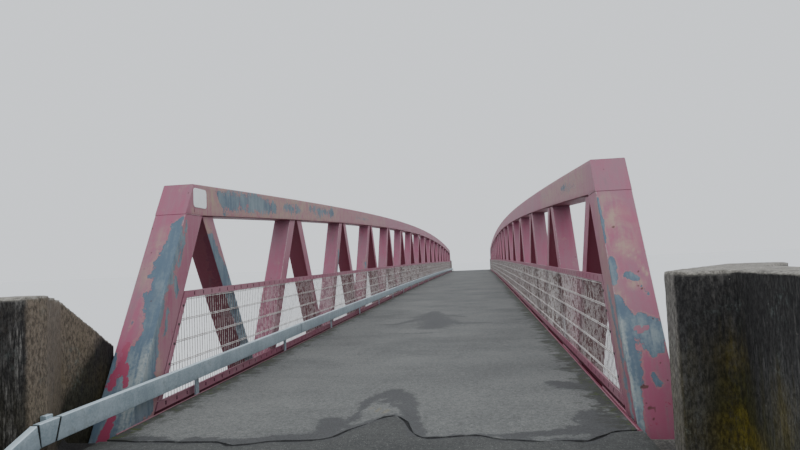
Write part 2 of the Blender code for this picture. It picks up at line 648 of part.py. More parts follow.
def left_tail_plan(end):
    """Plan of the left wall that follows the wing and then runs on outside the truss."""
    start = BLOCK_END_Y - GAP / math.sin(WING_ANGLE)
    outer = LEFT_TAIL_X + TAIL_WIDTH
    plan = [
        (WALL_INNER_X, start),
        (LEFT_TAIL_X, TAIL_END_Y),
        (LEFT_TAIL_X, LEFT_TAIL_END_Y),
        (outer, LEFT_TAIL_END_Y),
        (outer, start - (outer - WALL_INNER_X) / math.tan(WING_ANGLE)),
    ]
    return [(-x, end * y) for x, y in plan]


def build_walls(side, end, parts, cutters):
    """Make the wall and the tail of one corner. The left tails rise above the path and fall with the wings."""
    corner = f"{'near' if end < 0 else 'far'}_{side_name(side)}"
    top = DECK_HEIGHT + WALL_TOP
    wall = extruded(f"{corner}_wall", [wall_plan(side, end)], 0, top, "Z", CONCRETE, parts)
    tail = extruded(f"{corner}_wall_tail", [tail_plan(side, end)], 0, APPROACH_SLAB_TOP, "Z", CONCRETE, parts)
    if side < 0:
        wall, tail = meshed(wall), meshed(tail)
        upper = extruded(f"{corner}_upper_tail", [left_tail_plan(end)], 0, top, "Z", CONCRETE, parts)
        combine(tail, meshed(upper), "UNION", cutters)
        start = BLOCK_END_Y - TAIL_LEVEL
        bend = top - TAIL_SLOPE * (start - TAIL_END_Y)
        length = WING_LENGTH + WING_THICKNESS
        wedge = [(start, top), (TAIL_END_Y, bend), (TAIL_END_Y - length, bend - TAIL_STEEP_SLOPE * length),
                 (TAIL_END_Y - length, top + length), (start, top + length)]
        wedge = [(end * y, z) for y, z in wedge]
        reach = across(side, WALL_INNER_X - TAIL_WIDTH, WALL_INNER_X + length)
        cutter = meshed(extruded(f"{corner}_slope_cutter", [wedge], *reach, "X", CONCRETE, cutters))
        for piece in (wall, tail):
            combine(piece, cutter, "DIFFERENCE", cutters)


def build_abutment(end, parts, cutters):
    """Make one abutment, cast with its back wall, bearing shelf and approach slab."""
    name = "near" if end < 0 else "far"
    slim = WALL_INNER_X - GAP
    wide = APPROACH_WALL_INNER_X - GAP
    slab_low = APPROACH_SLAB_TOP - APPROACH_SLAB_THICKNESS
    back = sorted((end * BACK_WALL_Y, end * (WALL_NEAR_Y + SLAB_OVERLAP)))
    corners = (-slim, back[0], 0), (slim, back[1], APPROACH_SLAB_TOP)
    body = box(f"{name}_abutment", *corners, CONCRETE, parts)
    shelf = sorted((end * (BACK_WALL_Y + SHELF_OVERLAP), end * (BACK_WALL_Y - SHELF_LENGTH)))
    corners = (-SHELF_HALF_WIDTH, shelf[0], 0), (SHELF_HALF_WIDTH, shelf[1], SHELF_TOP)
    combine(body, box(f"{name}_shelf", *corners, CONCRETE, parts), "UNION", cutters)
    slab = sorted((end * (WALL_NEAR_Y + GAP), end * APPROACH_END_Y))
    corners = (-wide, slab[0], slab_low), (wide, slab[1], APPROACH_SLAB_TOP)
    combine(body, box(f"{name}_slab", *corners, CONCRETE, parts), "UNION", cutters)
    start = end * BACK_WALL_Y
    step = end * (WALL_NEAR_Y + GAP)
    stop = end * APPROACH_END_Y
    plan = [(-slim, start), (slim, start), (slim, step), (wide, step)]
    plan += [(wide, stop), (-wide, stop), (-wide, step), (-slim, step)]
    surface = (APPROACH_SLAB_TOP + GAP, APPROACH_TOP)
    extruded(f"{name}_approach_asphalt", [plan], *surface, "Z", ASPHALT, parts)


def main():
    """Build the whole bridge."""
    for old in list(bpy.data.objects):
        bpy.data.objects.remove(old)
    parts = bpy.data.collections.new(MODEL_NAME)
    cutters = bpy.data.collections.new("cutters")
    bpy.context.scene.collection.children.link(parts)
    bpy.context.scene.collection.children.link(cutters)
    for side in (-1, 1):
        build_truss(side, parts)
    build_deck(parts, cutters)
    build_guard_rail(parts, cutters)
    build_blank_plate(parts)
    for end in (-1, 1):
        build_guard_end(end, parts, cutters)
        build_abutment(end, parts, cutters)
        for side in (-1, 1):
            build_bearings(side, end, parts)
            build_walls(side, end, parts, cutters)


main()
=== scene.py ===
"""Looks of the cycle path bridge, a 1:2 scale model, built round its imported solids.

Frame: +Y along the path from the near end, +X to the right, +Z up, in metres of the model.
Every piece is made where it belongs, with its object at the origin.
"""

import logging
import math
from collections.abc import Callable, Sequence
from dataclasses import dataclass
from enum import Enum
from typing import NamedTuple

import bmesh
import bpy
from mathutils import Matrix, Vector, noise


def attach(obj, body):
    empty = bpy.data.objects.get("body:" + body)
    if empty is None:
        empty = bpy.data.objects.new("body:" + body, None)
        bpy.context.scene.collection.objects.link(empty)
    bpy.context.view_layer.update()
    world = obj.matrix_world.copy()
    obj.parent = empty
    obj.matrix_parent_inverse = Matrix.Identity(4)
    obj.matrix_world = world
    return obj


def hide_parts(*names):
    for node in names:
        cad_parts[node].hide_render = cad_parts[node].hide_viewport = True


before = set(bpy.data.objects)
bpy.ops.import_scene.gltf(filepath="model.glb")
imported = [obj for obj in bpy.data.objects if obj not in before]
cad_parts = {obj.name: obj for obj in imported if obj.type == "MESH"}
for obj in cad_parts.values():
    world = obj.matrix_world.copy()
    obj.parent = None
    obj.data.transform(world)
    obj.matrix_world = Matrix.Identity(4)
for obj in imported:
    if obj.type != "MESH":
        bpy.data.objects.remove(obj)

LOG = logging.getLogger("bridge")
BODY = "root"
WELD = 0.00001
SLOT_DEPTH_SHARE = 0.75
DAMP_MARKS = ("damp", "crack")
PAINT_MARKS = ("primer", "fresh", "ochre", "rust", "hollow", "chalky")
Pair = tuple[float, float]
Triple = tuple[float, float, float]
Slice = tuple[Pair, Pair]
Seam = tuple[Slice, Pair]
Cell = tuple[int, int]
Shape = tuple[list[Vector], list[list[int]]]
Marks = dict[str, tuple[tuple, ...]]
Socket = bpy.types.NodeSocket
Material = bpy.types.Material


class Side(Enum):
    """Side of the path, with the sign of its X."""

    LEFT = -1
    RIGHT = 1


class End(Enum):
    """End of the bridge, with the sign of its Y."""

    NEAR = -1
    FAR = 1


@dataclass(frozen=True)
class Layout:
    """Sizes that the bridge's pieces share, all in metres.

    deck is the deck's height at the ends and the rises are what a line gains in the middle.
    """

    half_span: float = 16.8
    half_bay: float = 1.05
    bays: int = 16
    inner_x: float = 1.195
    chord_width: float = 0.195
    chord_depth: float = 0.2
    deck: float = 2.0
    deck_rise: float = 0.05
    chord_low: float = 3.075
    chord_rise: float = 0.4335
    bottom_chord_top: float = 1.775
    post_slope: float = 0.585

    @property
    def post_run(self) -> float:
        """Length along the bridge of a level cut through an end post."""
        return self.chord_depth * math.hypot(1, self.post_slope)

    def camber(self, y: float, rise: float) -> float:
        """Height that a line gains at y, straight between the frame points.

        Args:
            y: Place along the bridge.
            rise: Gain in the middle.

        Returns:
            The gain.
        """
        low = math.floor(y / self.half_bay) * self.half_bay
        start = rise * (1 - (low / self.half_span) ** 2)
        end = rise * (1 - ((low + self.half_bay) / self.half_span) ** 2)
        return start + (end - start) * (y - low) / self.half_bay

    def post_inner_y(self, z: float) -> float:
        """Y of the near end post's edge that faces the span, at a height."""
        return -self.half_span - self.post_slope * (self.chord_low - z)

    def post_outer_y(self, z: float) -> float:
        """Y of the near end post's face towards the approach, at a height."""
        return self.post_inner_y(z) - self.post_run


LAYOUT = Layout()


def rounded_ring(length: float, width: float, radius: float, cells: tuple[int, int],
                 turns: int = 3) -> list[Pair]:
    """Points round a rounded rectangle, as distances along its length and width.

    Args:
        length: Size along the first direction.
        width: Size along the second.
        radius: Radius of the corners.
        cells: Number of cells along the flat of a long side and of a wide side.
        turns: Steps in a quarter turn.

    Returns:
        The points, in order round the ring.
    """
    ring: list[Pair] = []
    corners = [(length - radius, radius), (length - radius, width - radius),
               (radius, width - radius), (radius, radius)]
    for side, (centre_a, centre_w) in enumerate(corners):
        start = -math.pi / 2 + side * math.pi / 2
        arrive = (centre_a + radius * math.cos(start), centre_w + radius * math.sin(start))
        before = corners[side - 1]
        leave = (before[0] + radius * math.cos(start), before[1] + radius * math.sin(start))
        count = cells[side % 2]
        for step in range(count):
            share = step / count
            ring.append((leave[0] + (arrive[0] - leave[0]) * share,
                         leave[1] + (arrive[1] - leave[1]) * share))
        for step in range(turns):
            angle = start + step * math.pi / 2 / turns
            ring.append((centre_a + radius * math.cos(angle),
                         centre_w + radius * math.sin(angle)))
    return ring


@dataclass(frozen=True)
class Stroke:
    """Mark on a surface: a line of points (x, y, z, radius), kept in a named attribute."""

    mark: str
    points: tuple[tuple[float, float, float, float], ...]
    strength: float = 1.0

    def level(self, place: Vector) -> float:
        """Strength of the mark at a place: full on the line, half at its radius, 0 at twice that."""
        return self.strength * max(self.stretch(place, k) for k in range(max(1, len(self.points) - 1)))

    def stretch(self, place: Vector, k: int) -> float:
        """Share of the strength that one stretch of the line gives.

        Args:
            place: The place.
            k: Number of the stretch.

        Returns:
            Share from 0 to 1.
        """
        start, radius = Vector(self.points[k][:3]), self.points[k][3]
        end = self.points[min(k + 1, len(self.points) - 1)]
        run = Vector(end[:3]) - start
        share = max(0.0, min(1.0, (place - start).dot(run) / max(run.length_squared, WELD)))
        radius += (end[3] - radius) * share
        return max(0.0, 1 - (place - start - run * share).length / (2 * radius))


def paint(piece: bpy.types.Object, strokes: Sequence[Stroke], marks: Sequence[str]) -> None:
    """Write strokes into float attributes of a mesh, the strongest one counting at each point.

    Args:
        piece: The piece whose points are painted.
        strokes: The marks.
        marks: Names of the attributes that the finish reads.
    """
    mesh = piece.data
    for mark in marks:
        values = [0.0] * len(mesh.vertices)
        own = [s for s in strokes if s.mark == mark]
        for stroke in own:
            low = [min(p[i] - 2 * p[3] for p in stroke.points) for i in range(3)]
            high = [max(p[i] + 2 * p[3] for p in stroke.points) for i in range(3)]
            for vertex in mesh.vertices:
                if all(low[i] < vertex.co[i] < high[i] for i in range(3)):
                    level = stroke.level(vertex.co)
                    if abs(level) > abs(values[vertex.index]):
                        values[vertex.index] = level
        attribute = mesh.attributes.new(mark, "FLOAT", "POINT")
        attribute.data.foreach_set("value", values)


def placed(name: str, data: bpy.types.ID) -> bpy.types.Object:
    """Make an object of some data and link it to the scene.

    Args:
        name: Name of the object.
        data: What it shows.

    Returns:
        The object.
    """
    thing = bpy.data.objects.new(name, data)
    bpy.context.scene.collection.objects.link(thing)
    return thing


def applied(carrier: bpy.types.Object) -> bpy.types.Mesh:
    """Return the mesh that an object's modifiers make, and remove the object.

    Args:
        carrier: The object.

    Returns:
        The mesh.
    """
    bpy.context.view_layer.update()
    graph = bpy.context.evaluated_depsgraph_get()
    mesh = bpy.data.meshes.new_from_object(carrier.evaluated_get(graph))
    bpy.data.objects.remove(carrier)
    return mesh


def new_piece(name: str, shape: Shape, material: Material, slot: str, *nodes: str,
              strokes: Sequence[Stroke] | None = None, marks: Sequence[str] = PAINT_MARKS,
              sharp_angle: float = 40.0) -> None:
    """Make a piece from points and faces, closed where it can be, and hand it over.

    Args:
        name: Name of the piece.
        shape: Its points and faces.
        material: Its finish.
        slot: Material slot of the record.
        nodes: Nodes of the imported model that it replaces.
        strokes: Marks to paint, or None for a finish that reads no marks.
        marks: Names of the marks that the finish reads.
        sharp_angle: Edges that turn more than this many degrees stay sharp.
    """
    mesh = bpy.data.meshes.new(name)
    mesh.from_pydata(shape[0], [], shape[1])
    work = bmesh.new()
    work.from_mesh(mesh)
    bmesh.ops.remove_doubles(work, verts=work.verts, dist=WELD)
    bmesh.ops.recalc_face_normals(work, faces=work.faces)
    work.to_mesh(mesh)
    work.free()
    mesh.shade_smooth()
    mesh.set_sharp_from_angle(angle=math.radians(sharp_angle))
    mesh.materials.append(material)
    piece = placed(name, mesh)
    if strokes is not None:
        paint(piece, strokes, marks)
    hand_over(piece, slot, *nodes)


def hand_over(piece: bpy.types.Object, slot: str, *nodes: str) -> None:
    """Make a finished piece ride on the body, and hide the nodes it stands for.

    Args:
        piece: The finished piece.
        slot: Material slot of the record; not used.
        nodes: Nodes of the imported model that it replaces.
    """
    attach(piece, BODY)
    if nodes:
        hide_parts(*nodes)
    LOG.info("%s: %d faces", piece.name, len(piece.data.polygons))


def dress(material: Material, *nodes: str) -> None:
    """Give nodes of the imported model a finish.

    Args:
        material: The finish.
        nodes: Their names.
    """
    for node in nodes:
        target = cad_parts[node]
        target.data.materials.clear()
        target.data.materials.append(material)


def circle(radius: float, sides: int) -> list[Pair]:
    """Points of a many-sided ring about the origin."""
    angles = [2 * math.pi * k / sides for k in range(sides)]
    return [(radius * math.cos(angle), radius * math.sin(angle)) for angle in angles]


def loft(rings: Sequence[Sequence[Vector]], closed: bool = False) -> Shape:
    """Points and faces of a skin through rings of points.

    Args:
        rings: The rings, all with the same number of points.
        closed: Whether the last ring runs on to the first, so that no end is capped.

    Returns:
        The points and faces.
    """
    count = len(rings[0])
    points = [point for ring in rings for point in ring]
    faces = []
    for k in range(len(rings) - (not closed)):
        a, b = k * count, (k + 1) % len(rings) * count
        faces += [[a + i, a + (i + 1) % count, b + (i + 1) % count, b + i] for i in range(count)]
    if not closed:
        faces += [list(range(count)), list(range(len(points) - count, len(points)))]
    return points, faces


def box_member(slices: Sequence[Slice], reach: Pair, radius: float, cells: tuple[int, int]) -> Shape:
    """Points and faces of a box section with rounded edges, lofted through slices.

    Args:
        slices: For each slice its two ends, as (y, z) points of the side view.
        reach: Lower and upper X.
        radius: Radius of the long edges.
        cells: Cells across the two kinds of face.

    Returns:
        The points and faces.
    """
    rings = []
    for low, high in slices:
        start = Vector((0, *low))
        run = Vector((0, *high)) - start
        along = run.normalized()
        rings.append([start + along * a + Vector((reach[0] + w, 0, 0))
                      for a, w in rounded_ring(run.length, reach[1] - reach[0], radius, cells)])
    return loft(rings)


def joined(shapes: Sequence[Shape]) -> Shape:
    """Put several sets of points and faces together.

    Args:
        shapes: The sets.

    Returns:
        All their points and faces.
    """
    points: list[Vector] = []
    faces: list[list[int]] = []
    for some_points, some_faces in shapes:
        faces += [[len(points) + i for i in face] for face in some_faces]
        points += some_points
    return points, faces


def spread(start: float, stop: float, step: float) -> list[float]:
    """Return evenly spaced values from start to stop, no further apart than a step."""
    count = max(1, math.ceil(abs(stop - start) / step - 0.001))
    return [start + (stop - start) * k / count for k in range(count + 1)]


def reach_of(side: Side, inner: float, outer: float) -> Pair:
    """Lower and upper X of what lies between two distances on one side."""
    return (-outer, -inner) if side is Side.LEFT else (inner, outer)


def mirrored(slices: Sequence[Slice], sign: int) -> list[Slice]:
    """Slices with their Y times a sign."""
    return [((sign * low[0], low[1]), (sign * high[0], high[1])) for low, high in slices]


class Value:
    """Value in a material's tree, whose sums, differences and products add nodes to it."""

    def __init__(self, tree: "MaterialTree", socket: Socket) -> None:
        """Keep the tree and the socket that gives the value."""
        self.tree = tree
        self.socket = socket

    def __add__(self, other: "Value | float") -> "Value":
        """Sum of two values."""
        return self.tree.math("ADD", self, other)

    def __mul__(self, other: "Value | float") -> "Value":
        """Product of two values."""
        return self.tree.math("MULTIPLY", self, other)

    def __rsub__(self, other: float) -> "Value":
        """A number less this value."""
        return self.tree.math("SUBTRACT", other, self)


class Cells(NamedTuple):
    """Distance to the nearest of many scattered points, and that point's own random colour."""

    distance: Value
    colour: Value


class Tree:
    """Node tree, with one call that adds a node and fills in its inputs."""

    def __init__(self, tree: bpy.types.NodeTree) -> None:
        """Keep the tree."""
        self.tree = tree

    def set(self, socket: Socket, value: object) -> None:
        """Link a socket to another, or set its value.

        Args:
            socket: The socket.
            value: Its value, or a socket that gives it.
        """
        value = value.socket if isinstance(value, Value) else value
        if isinstance(value, Socket):
            self.tree.links.new(value, socket)
        elif isinstance(value, tuple) and len(value) == 3 and socket.type == "RGBA":
            socket.default_value = (*value, 1.0)
        else:
            socket.default_value = value

    def add(self, kind: str, inputs: dict[str | int, object] | None = None,
            **settings: object) -> bpy.types.Node:
        """Add a node.

        Args:
            kind: Its type.
            inputs: Value or socket for each input, by its name or number.
            settings: Properties of the node.

        Returns:
            The node.
        """
        made = self.tree.nodes.new(kind)
        for key, value in settings.items():
            setattr(made, key, value)
        for key, value in (inputs or {}).items():
            self.set(made.inputs[key], value)
        return made


class MaterialTree(Tree):
    """Node tree of one material, with short calls for the nodes that the finishes share."""

    def __init__(self, name: str) -> None:
        """Start a material of this name with its shader and output.

        Args:
            name: Name of the material.
        """
        self.material = bpy.data.materials.new(name)
        self.material.use_nodes = True
        super().__init__(self.material.node_tree)
        self.shader = self.tree.nodes["Principled BSDF"]
        self.place = self.value("TexCoord", {}, "Object")

    def value(self, kind: str, inputs: dict[str | int, object], output: str | int = 0,
              **settings: object) -> Value:
        """Add a shader node and return one of its outputs.

        Args:
            kind: Its type, without the first part of the name.
            inputs: Value or socket for each input, by its name or number.
            output: Name or number of the output.
            settings: Properties of the node.
        """
        return Value(self, self.add(f"ShaderNode{kind}", inputs, **settings).outputs[output])

    def scaled(self, scale: Triple, turn: float = 0.0) -> Value:
        """Object coordinates times a scale for each axis, then turned about all three."""
        return self.value("Mapping", {"Vector": self.place, "Scale": scale,
                                      "Rotation": (turn, 0.7 * turn, turn)})

    def noise(self, scale: float, detail: float = 4.0, roughness: float = 0.55, distortion: float = 0.0,
              place: Value | None = None) -> Value:
        """Noise from 0 to 1.

        Args:
            scale: Features to a metre.
            detail: Octaves.
            roughness: Strength of the fine octaves.
            distortion: Warp of the pattern.
            place: Coordinates, else the object's own.
        """
        return self.value("TexNoise", {"Vector": place or self.place, "Scale": scale, "Detail": detail,
                                       "Roughness": roughness, "Distortion": distortion}, "Fac")

    def cells(self, scale: float) -> Cells:
        """Scattered points, this many to a metre."""
        made = self.add("ShaderNodeTexVoronoi", {"Vector": self.place, "Scale": scale})
        return Cells(Value(self, made.outputs["Distance"]), Value(self, made.outputs["Color"]))

    def math(self, kind: str, a: object, b: object = 0.0, clamp: bool = False) -> Value:
        """Result of an operation on two values."""
        return self.value("Math", {0: a, 1: b}, operation=kind, use_clamp=clamp)

    def total(self, *terms: tuple[object, float]) -> Value:
        """Weighted sum, each term a value and its weight.

        Args:
            terms: The values and weights.

        Returns:
            The sum.
        """
        result: object = 0.0
        for value, weight in terms:
            result = self.math("ADD", self.math("MULTIPLY", value, weight), result)
        return result

    def step(self, value: object, low: float, high: float, to: Pair = (0.0, 1.0)) -> Value:
        """Smooth step of a value between two limits."""
        return self.value("MapRange", {"Value": value, "From Min": low, "From Max": high, "To Min": to[0],
                                       "To Max": to[1]}, interpolation_type="SMOOTHSTEP")

    def drop(self, value: object, low: float, high: float) -> Value:
        """Smooth step down from 1 to 0."""
        return self.step(value, low, high, (1.0, 0.0))

    def blend(self, share: Value, a: Value, b: Value) -> Value:
        """Value between two values."""
        return b * share + a * (1.0 - share)

    def mix(self, share: object, a: object, b: object) -> Value:
        """Colour between two colours."""
        return self.value("Mix", {0: share, 6: a, 7: b}, 2, data_type="RGBA")

    def shaded(self, colour: Value, factor: object) -> Value:
        """Colour times a factor."""
        return self.value("VectorMath", {0: colour, "Scale": factor}, operation="SCALE")

    def attribute(self, name: str) -> Value:
        """Value of a float attribute of the mesh, 0 where it has none."""
        return self.value("Attribute", {}, "Fac", attribute_name=name)

    def facing(self, axis: str) -> Value:
        """Component of the surface's own direction along an axis."""
        return self.value("SeparateXYZ", {0: self.value("NewGeometry", {}, "Normal")}, axis)

    def along(self, axis: str) -> Value:
        """Object coordinate along an axis."""
        return self.value("SeparateXYZ", {0: self.place}, axis)

    def finish(self, colour: object, roughness: object, metallic: object = 0.0, height: object = None,
               relief: float = 0.001, specular: float = 0.4) -> Material:
        """Wire the shader and return the material.

        Args:
            colour: Base colour.
            roughness: Roughness.
            metallic: Metallic share.
            height: Value that the relief follows.
            relief: Depth of the relief in metres.
            specular: Specular level of the shader.

        Returns:
            The material.
        """
        for label, value in (("Base Color", colour), ("Roughness", roughness), ("Metallic", metallic),
                             ("Specular IOR Level", specular)):
            self.set(self.shader.inputs[label], value)
        if height is not None:
            bump = self.value("Bump", {"Distance": relief, "Strength": 1.0, "Height": height})
            self.set(self.shader.inputs["Normal"], bump)
        return self.material


@dataclass(frozen=True)
class PeelingPaint:
    """Old pink paint that fades, goes chalky and comes off in flakes over a grey-blue primer.

    The marks primer, fresh, ochre, rust, hollow and chalky add bare primer, unfaded paint, a
    beige bloom, rust, painted shade inside a slot and whitened primer where a mesh has them. thin is
    how readily the paint comes off in other places, from 0 to 1. Painted shade darkens undersides
    and faces towards the near end, and a painted shadow rims bare patches; rounded edges get pale
    wear and a painted highlight.
    """

    name: str
    thin: float = 0.5
    faded: Triple = (0.325, 0.170, 0.200)
    # Pink of faces towards the near end, darker: painted shade.
    front_shade: Triple = (0.262, 0.128, 0.165)
    strong: Triple = (0.30, 0.074, 0.132)
    unfaded: Triple = (0.30, 0.048, 0.100)
    # Deep red that undersides turn to: unfaded paint and painted shade.
    underside_shade: Triple = (0.10, 0.006, 0.020)
    primer_dark: Triple = (0.085, 0.128, 0.175)
    primer_pale: Triple = (0.215, 0.268, 0.290)
    bloom: Triple = (0.36, 0.27, 0.20)
    # Pale edge colour: worn paint and a painted highlight.
    worn_edge: Triple = (0.44, 0.34, 0.35)

    def material(self) -> Material:
        """Build the material.

        Returns:
            The material.
        """
        t = MaterialTree(self.name)
        across = t.facing("X")
        square = across * across
        sideways = t.step(square, 0.2, 0.6)
        corner = square * (1.0 - square)
        corner = t.step(corner, 0.04, 0.16)
        along_slope = t.noise(1, 5, 0.6, 0.5, t.scaled((32, 5, 5)))
        upright = t.noise(1, 5, 0.6, 0.5, t.scaled((32, 32, 3.5)))
        streaks = t.blend(sideways, along_slope, upright)
        broad = t.noise(1.9, 3, 0.5)
        ragged = t.noise(10, 8, 0.68, 0.5)
        fine = t.noise(60, 5, 0.6)
        flaky = t.noise(42, 6, 0.7, 0.4)
        # Faces towards the near end get a darker pink and darker primer: painted shade.
        front = t.step(t.facing("Y") * -1.0, 0.3, 0.6)
        wear = t.total((ragged, 1.25), (streaks, 0.7), (flaky, 0.9))
        random = t.step(t.noise(2.6, 2), 0.5, 0.66) * (0.3 * self.thin)
        level = t.total((t.attribute("primer"), 1.0), (wear, 1.0), (corner, 0.07), (random, 1.0))
        limit = 1.92
        bare = t.step(level, limit, limit + 0.025)
        rim = t.math("SUBTRACT", t.step(level, limit - 0.045, limit), bare, clamp=True)
        halo = t.step(level, limit - 0.3, limit)
        chalk = t.step(t.total((broad, 0.45), (streaks, 0.35), (fine, 0.2), (t.attribute("fresh"), -0.5)),
                       0.32, 0.62)
        unfaded = t.step(t.total((t.attribute("fresh"), 1.0), (wear, 1.0)), limit, limit + 0.04)
        pink = t.mix(chalk, self.strong, t.mix(front, self.faded, self.front_shade))
        ochre = t.attribute("ochre") * t.step(t.total((ragged, 0.6), (streaks, 0.4)), 0.36, 0.6)
        pink = t.mix(ochre, pink, self.bloom)
        pink = t.mix(halo * 0.3, pink, self.bloom)
        # Rounded edges: pale worn paint and a painted highlight along each corner.
        pink = t.mix(corner * t.step(fine, 0.3, 0.6) * 0.75, pink, self.worn_edge)
        # A darker pink rim round bare patches: painted shadow of the paint film's edge.
        pink = t.mix(rim * 0.6, pink, self.strong)
        pink = t.mix(unfaded, pink, self.unfaded)
        shade = t.total((streaks, 0.4), (fine, 0.15), (ragged, 0.15), (t.noise(5.5, 4), 0.3),
                        (t.attribute("chalky"), 0.2), (front, -0.07))
        primer = t.mix(t.step(shade, 0.38, 0.64), self.primer_dark, self.primer_pale)
        chalky = t.attribute("chalky") * t.step(t.total((streaks, 0.6), (fine, 0.4)), 0.4, 0.6)
        primer = t.mix(chalky, primer, (0.42, 0.43, 0.39))
        bare = bare * (1.0 - unfaded)
        colour = t.mix(bare, pink, primer)
        # Undersides darkened towards deep red: unfaded paint and painted shade.
        under = t.step(t.facing("Z") * -1.0, 0.12, 0.4)
        colour = t.mix(under * 0.92, colour, self.underside_shade)
        specks = t.cells(19)
        pitted = t.drop(specks.distance, 0.06, 0.13) * t.step(specks.colour, 0.62, 0.68)
        colour = t.mix(pitted * 0.75, colour, (0.075, 0.02, 0.022))
        rust = t.step(t.total((t.attribute("rust"), 1.0), (ragged, 0.5)), 0.55, 0.8)
        colour = t.mix(rust * 0.85, colour, (0.085, 0.03, 0.022))
        grime = t.step(t.total((streaks, 0.7), (broad, 0.3)), 0.55, 0.74)
        colour = t.mix(grime * 0.3, colour, (0.12, 0.105, 0.11))
        # The hollow mark turns the inside of a slot near black: painted shade.
        colour = t.mix(t.attribute("hollow"), colour, (0.02, 0.003, 0.006))
        height = t.total((bare, -0.6), (rim, 0.35), (fine, 0.12), (pitted, -0.5))
        rough = t.total((bare, 0.1), (fine, 0.2), (chalk, 0.12))
        return t.finish(colour, rough + 0.42, height=height, relief=0.0007)


@dataclass(frozen=True)
class Galvanised:
    """Dull galvanised steel with its spangle, pale runs, a little dirt and a painted highlight on upward
    faces.
    """

    name: str
    dark: Triple = (0.26, 0.325, 0.36)
    pale: Triple = (0.40, 0.475, 0.515)
    dirt: Triple = (0.17, 0.17, 0.14)
    metallic: float = 0.35
    soiled: float = 0.35

    def material(self) -> Material:
        """Build the material.

        Returns:
            The material.
        """
        t = MaterialTree(self.name)
        spangle = t.cells(130).colour
        broad = t.noise(5, 5, 0.6)
        runs = t.noise(1, 4, 0.5, 0, t.scaled((60, 22, 4)))
        tone = t.total((spangle, 0.18), (broad, 0.5), (runs, 0.32))
        colour = t.mix(t.step(tone, 0.34, 0.66), self.dark, self.pale)
        stains = t.step(t.total((broad, 0.4), (t.noise(20, 6, 0.7), 0.6)), 0.58 - 0.12 * self.soiled,
                        0.74 - 0.2 * self.soiled)
        colour = t.mix(stains * self.soiled, colour, self.dirt)
        # Upward faces turned much paler: a painted highlight.
        upward = t.step(t.facing("Z"), 0.25, 0.85)
        colour = t.mix(upward * 0.75, colour, tuple((1.65 * c for c in self.pale)))
        rough = t.total((tone, 0.25), (stains, 0.25))
        return t.finish(colour, rough + 0.35, self.metallic, t.noise(90, 3), 0.0003)


@dataclass(frozen=True)
class Asphalt:
    """Worn asphalt: small stones, faint bands across the path, damp patches and mossy edges.

    edge is where the moss begins, in metres from the middle of the path, and shade darkens it all.
    """

    name: str
    edge: float = 1.0
    shade: float = 1.0

    def material(self) -> Material:
        """Build the material.

        Returns:
            The material.
        """
        t = MaterialTree(self.name)
        stones = t.cells(150)
        grit = t.noise(230, 5, 0.75)
        broad = t.noise(1.3, 5, 0.6)
        bands = t.noise(1, 6, 0.65, 0.5, t.scaled((1.6, 4.5, 1)))
        mottle = t.noise(34, 5, 0.65)
        ragged = t.noise(13, 7, 0.7, 0.6)
        teeth = t.noise(1, 6, 0.7, 0.3, t.scaled((4, 24, 1)))
        tone = t.total((broad, 0.34), (bands, 0.1), (mottle, 0.28), (grit, 0.28))
        dark, pale = (tuple((self.shade * c for c in colour)) for colour in ((0.088, 0.091, 0.09),
                                                                             (0.157, 0.161, 0.154)))
        colour = t.mix(t.step(tone, 0.38, 0.62), dark, pale)
        chips = t.drop(stones.distance, 0.2, 0.42) * t.step(stones.colour, 0.6, 0.8)
        colour = t.mix(chips * 0.5, colour, (0.27, 0.27, 0.25))
        pits = t.drop(stones.distance, 0.2, 0.42) * t.drop(stones.colour, 0.2, 0.36)
        colour = t.mix(pits * 0.6, colour, (0.04, 0.04, 0.042))
        damp = t.step(t.total((t.attribute("damp"), 1.0), (ragged, 0.9), (mottle, 0.7)), 1.25, 1.42)
        patches = t.step(t.total((bands, 0.4), (ragged, 0.6)), 0.58, 0.7)
        wet = t.math("MAXIMUM", damp, patches * 0.22)
        colour = t.mix(wet * 0.82, colour, (0.043, 0.044, 0.046))
        silt = t.step(t.attribute("damp") * -1.0, 0.1, 0.45)
        colour = t.mix(silt * 0.45, colour, (0.19, 0.17, 0.115))
        colour = t.shaded(colour, t.step(t.noise(95, 4, 0.75), 0.34, 0.66, (0.78, 1.25)))
        away = t.math("ABSOLUTE", t.along("X"))
        clumps = t.noise(8, 5, 0.65, 0.4)
        shore = t.total((away, 1.0), (teeth, 0.2), (ragged, 0.4), (clumps, 0.45))
        moss = t.step(shore, self.edge + 0.53, self.edge + 0.67)
        colour = t.mix(moss * 0.8, colour, (0.034, 0.036, 0.03))
        green = t.step(t.total((away, 1.0), (clumps, 0.5)), self.edge + 0.34,
                       self.edge + 0.4) * t.step(mottle, 0.52, 0.6)
        colour = t.mix(green * 0.85, colour, (0.05, 0.072, 0.014))
        lines = t.attribute("crack")
        split = t.step(t.total((lines, 1.0), (ragged, 0.4)), 0.98, 1.04)
        colour = t.mix(split, colour, (0.01, 0.01, 0.011))
        height = t.total((stones.distance, -0.4), (grit, 0.5), (mottle, 0.4))
        rough = t.total((wet, -0.2), (grit, 0.1))
        return t.finish(colour, rough + 0.86, height=height, relief=0.002, specular=0.3)


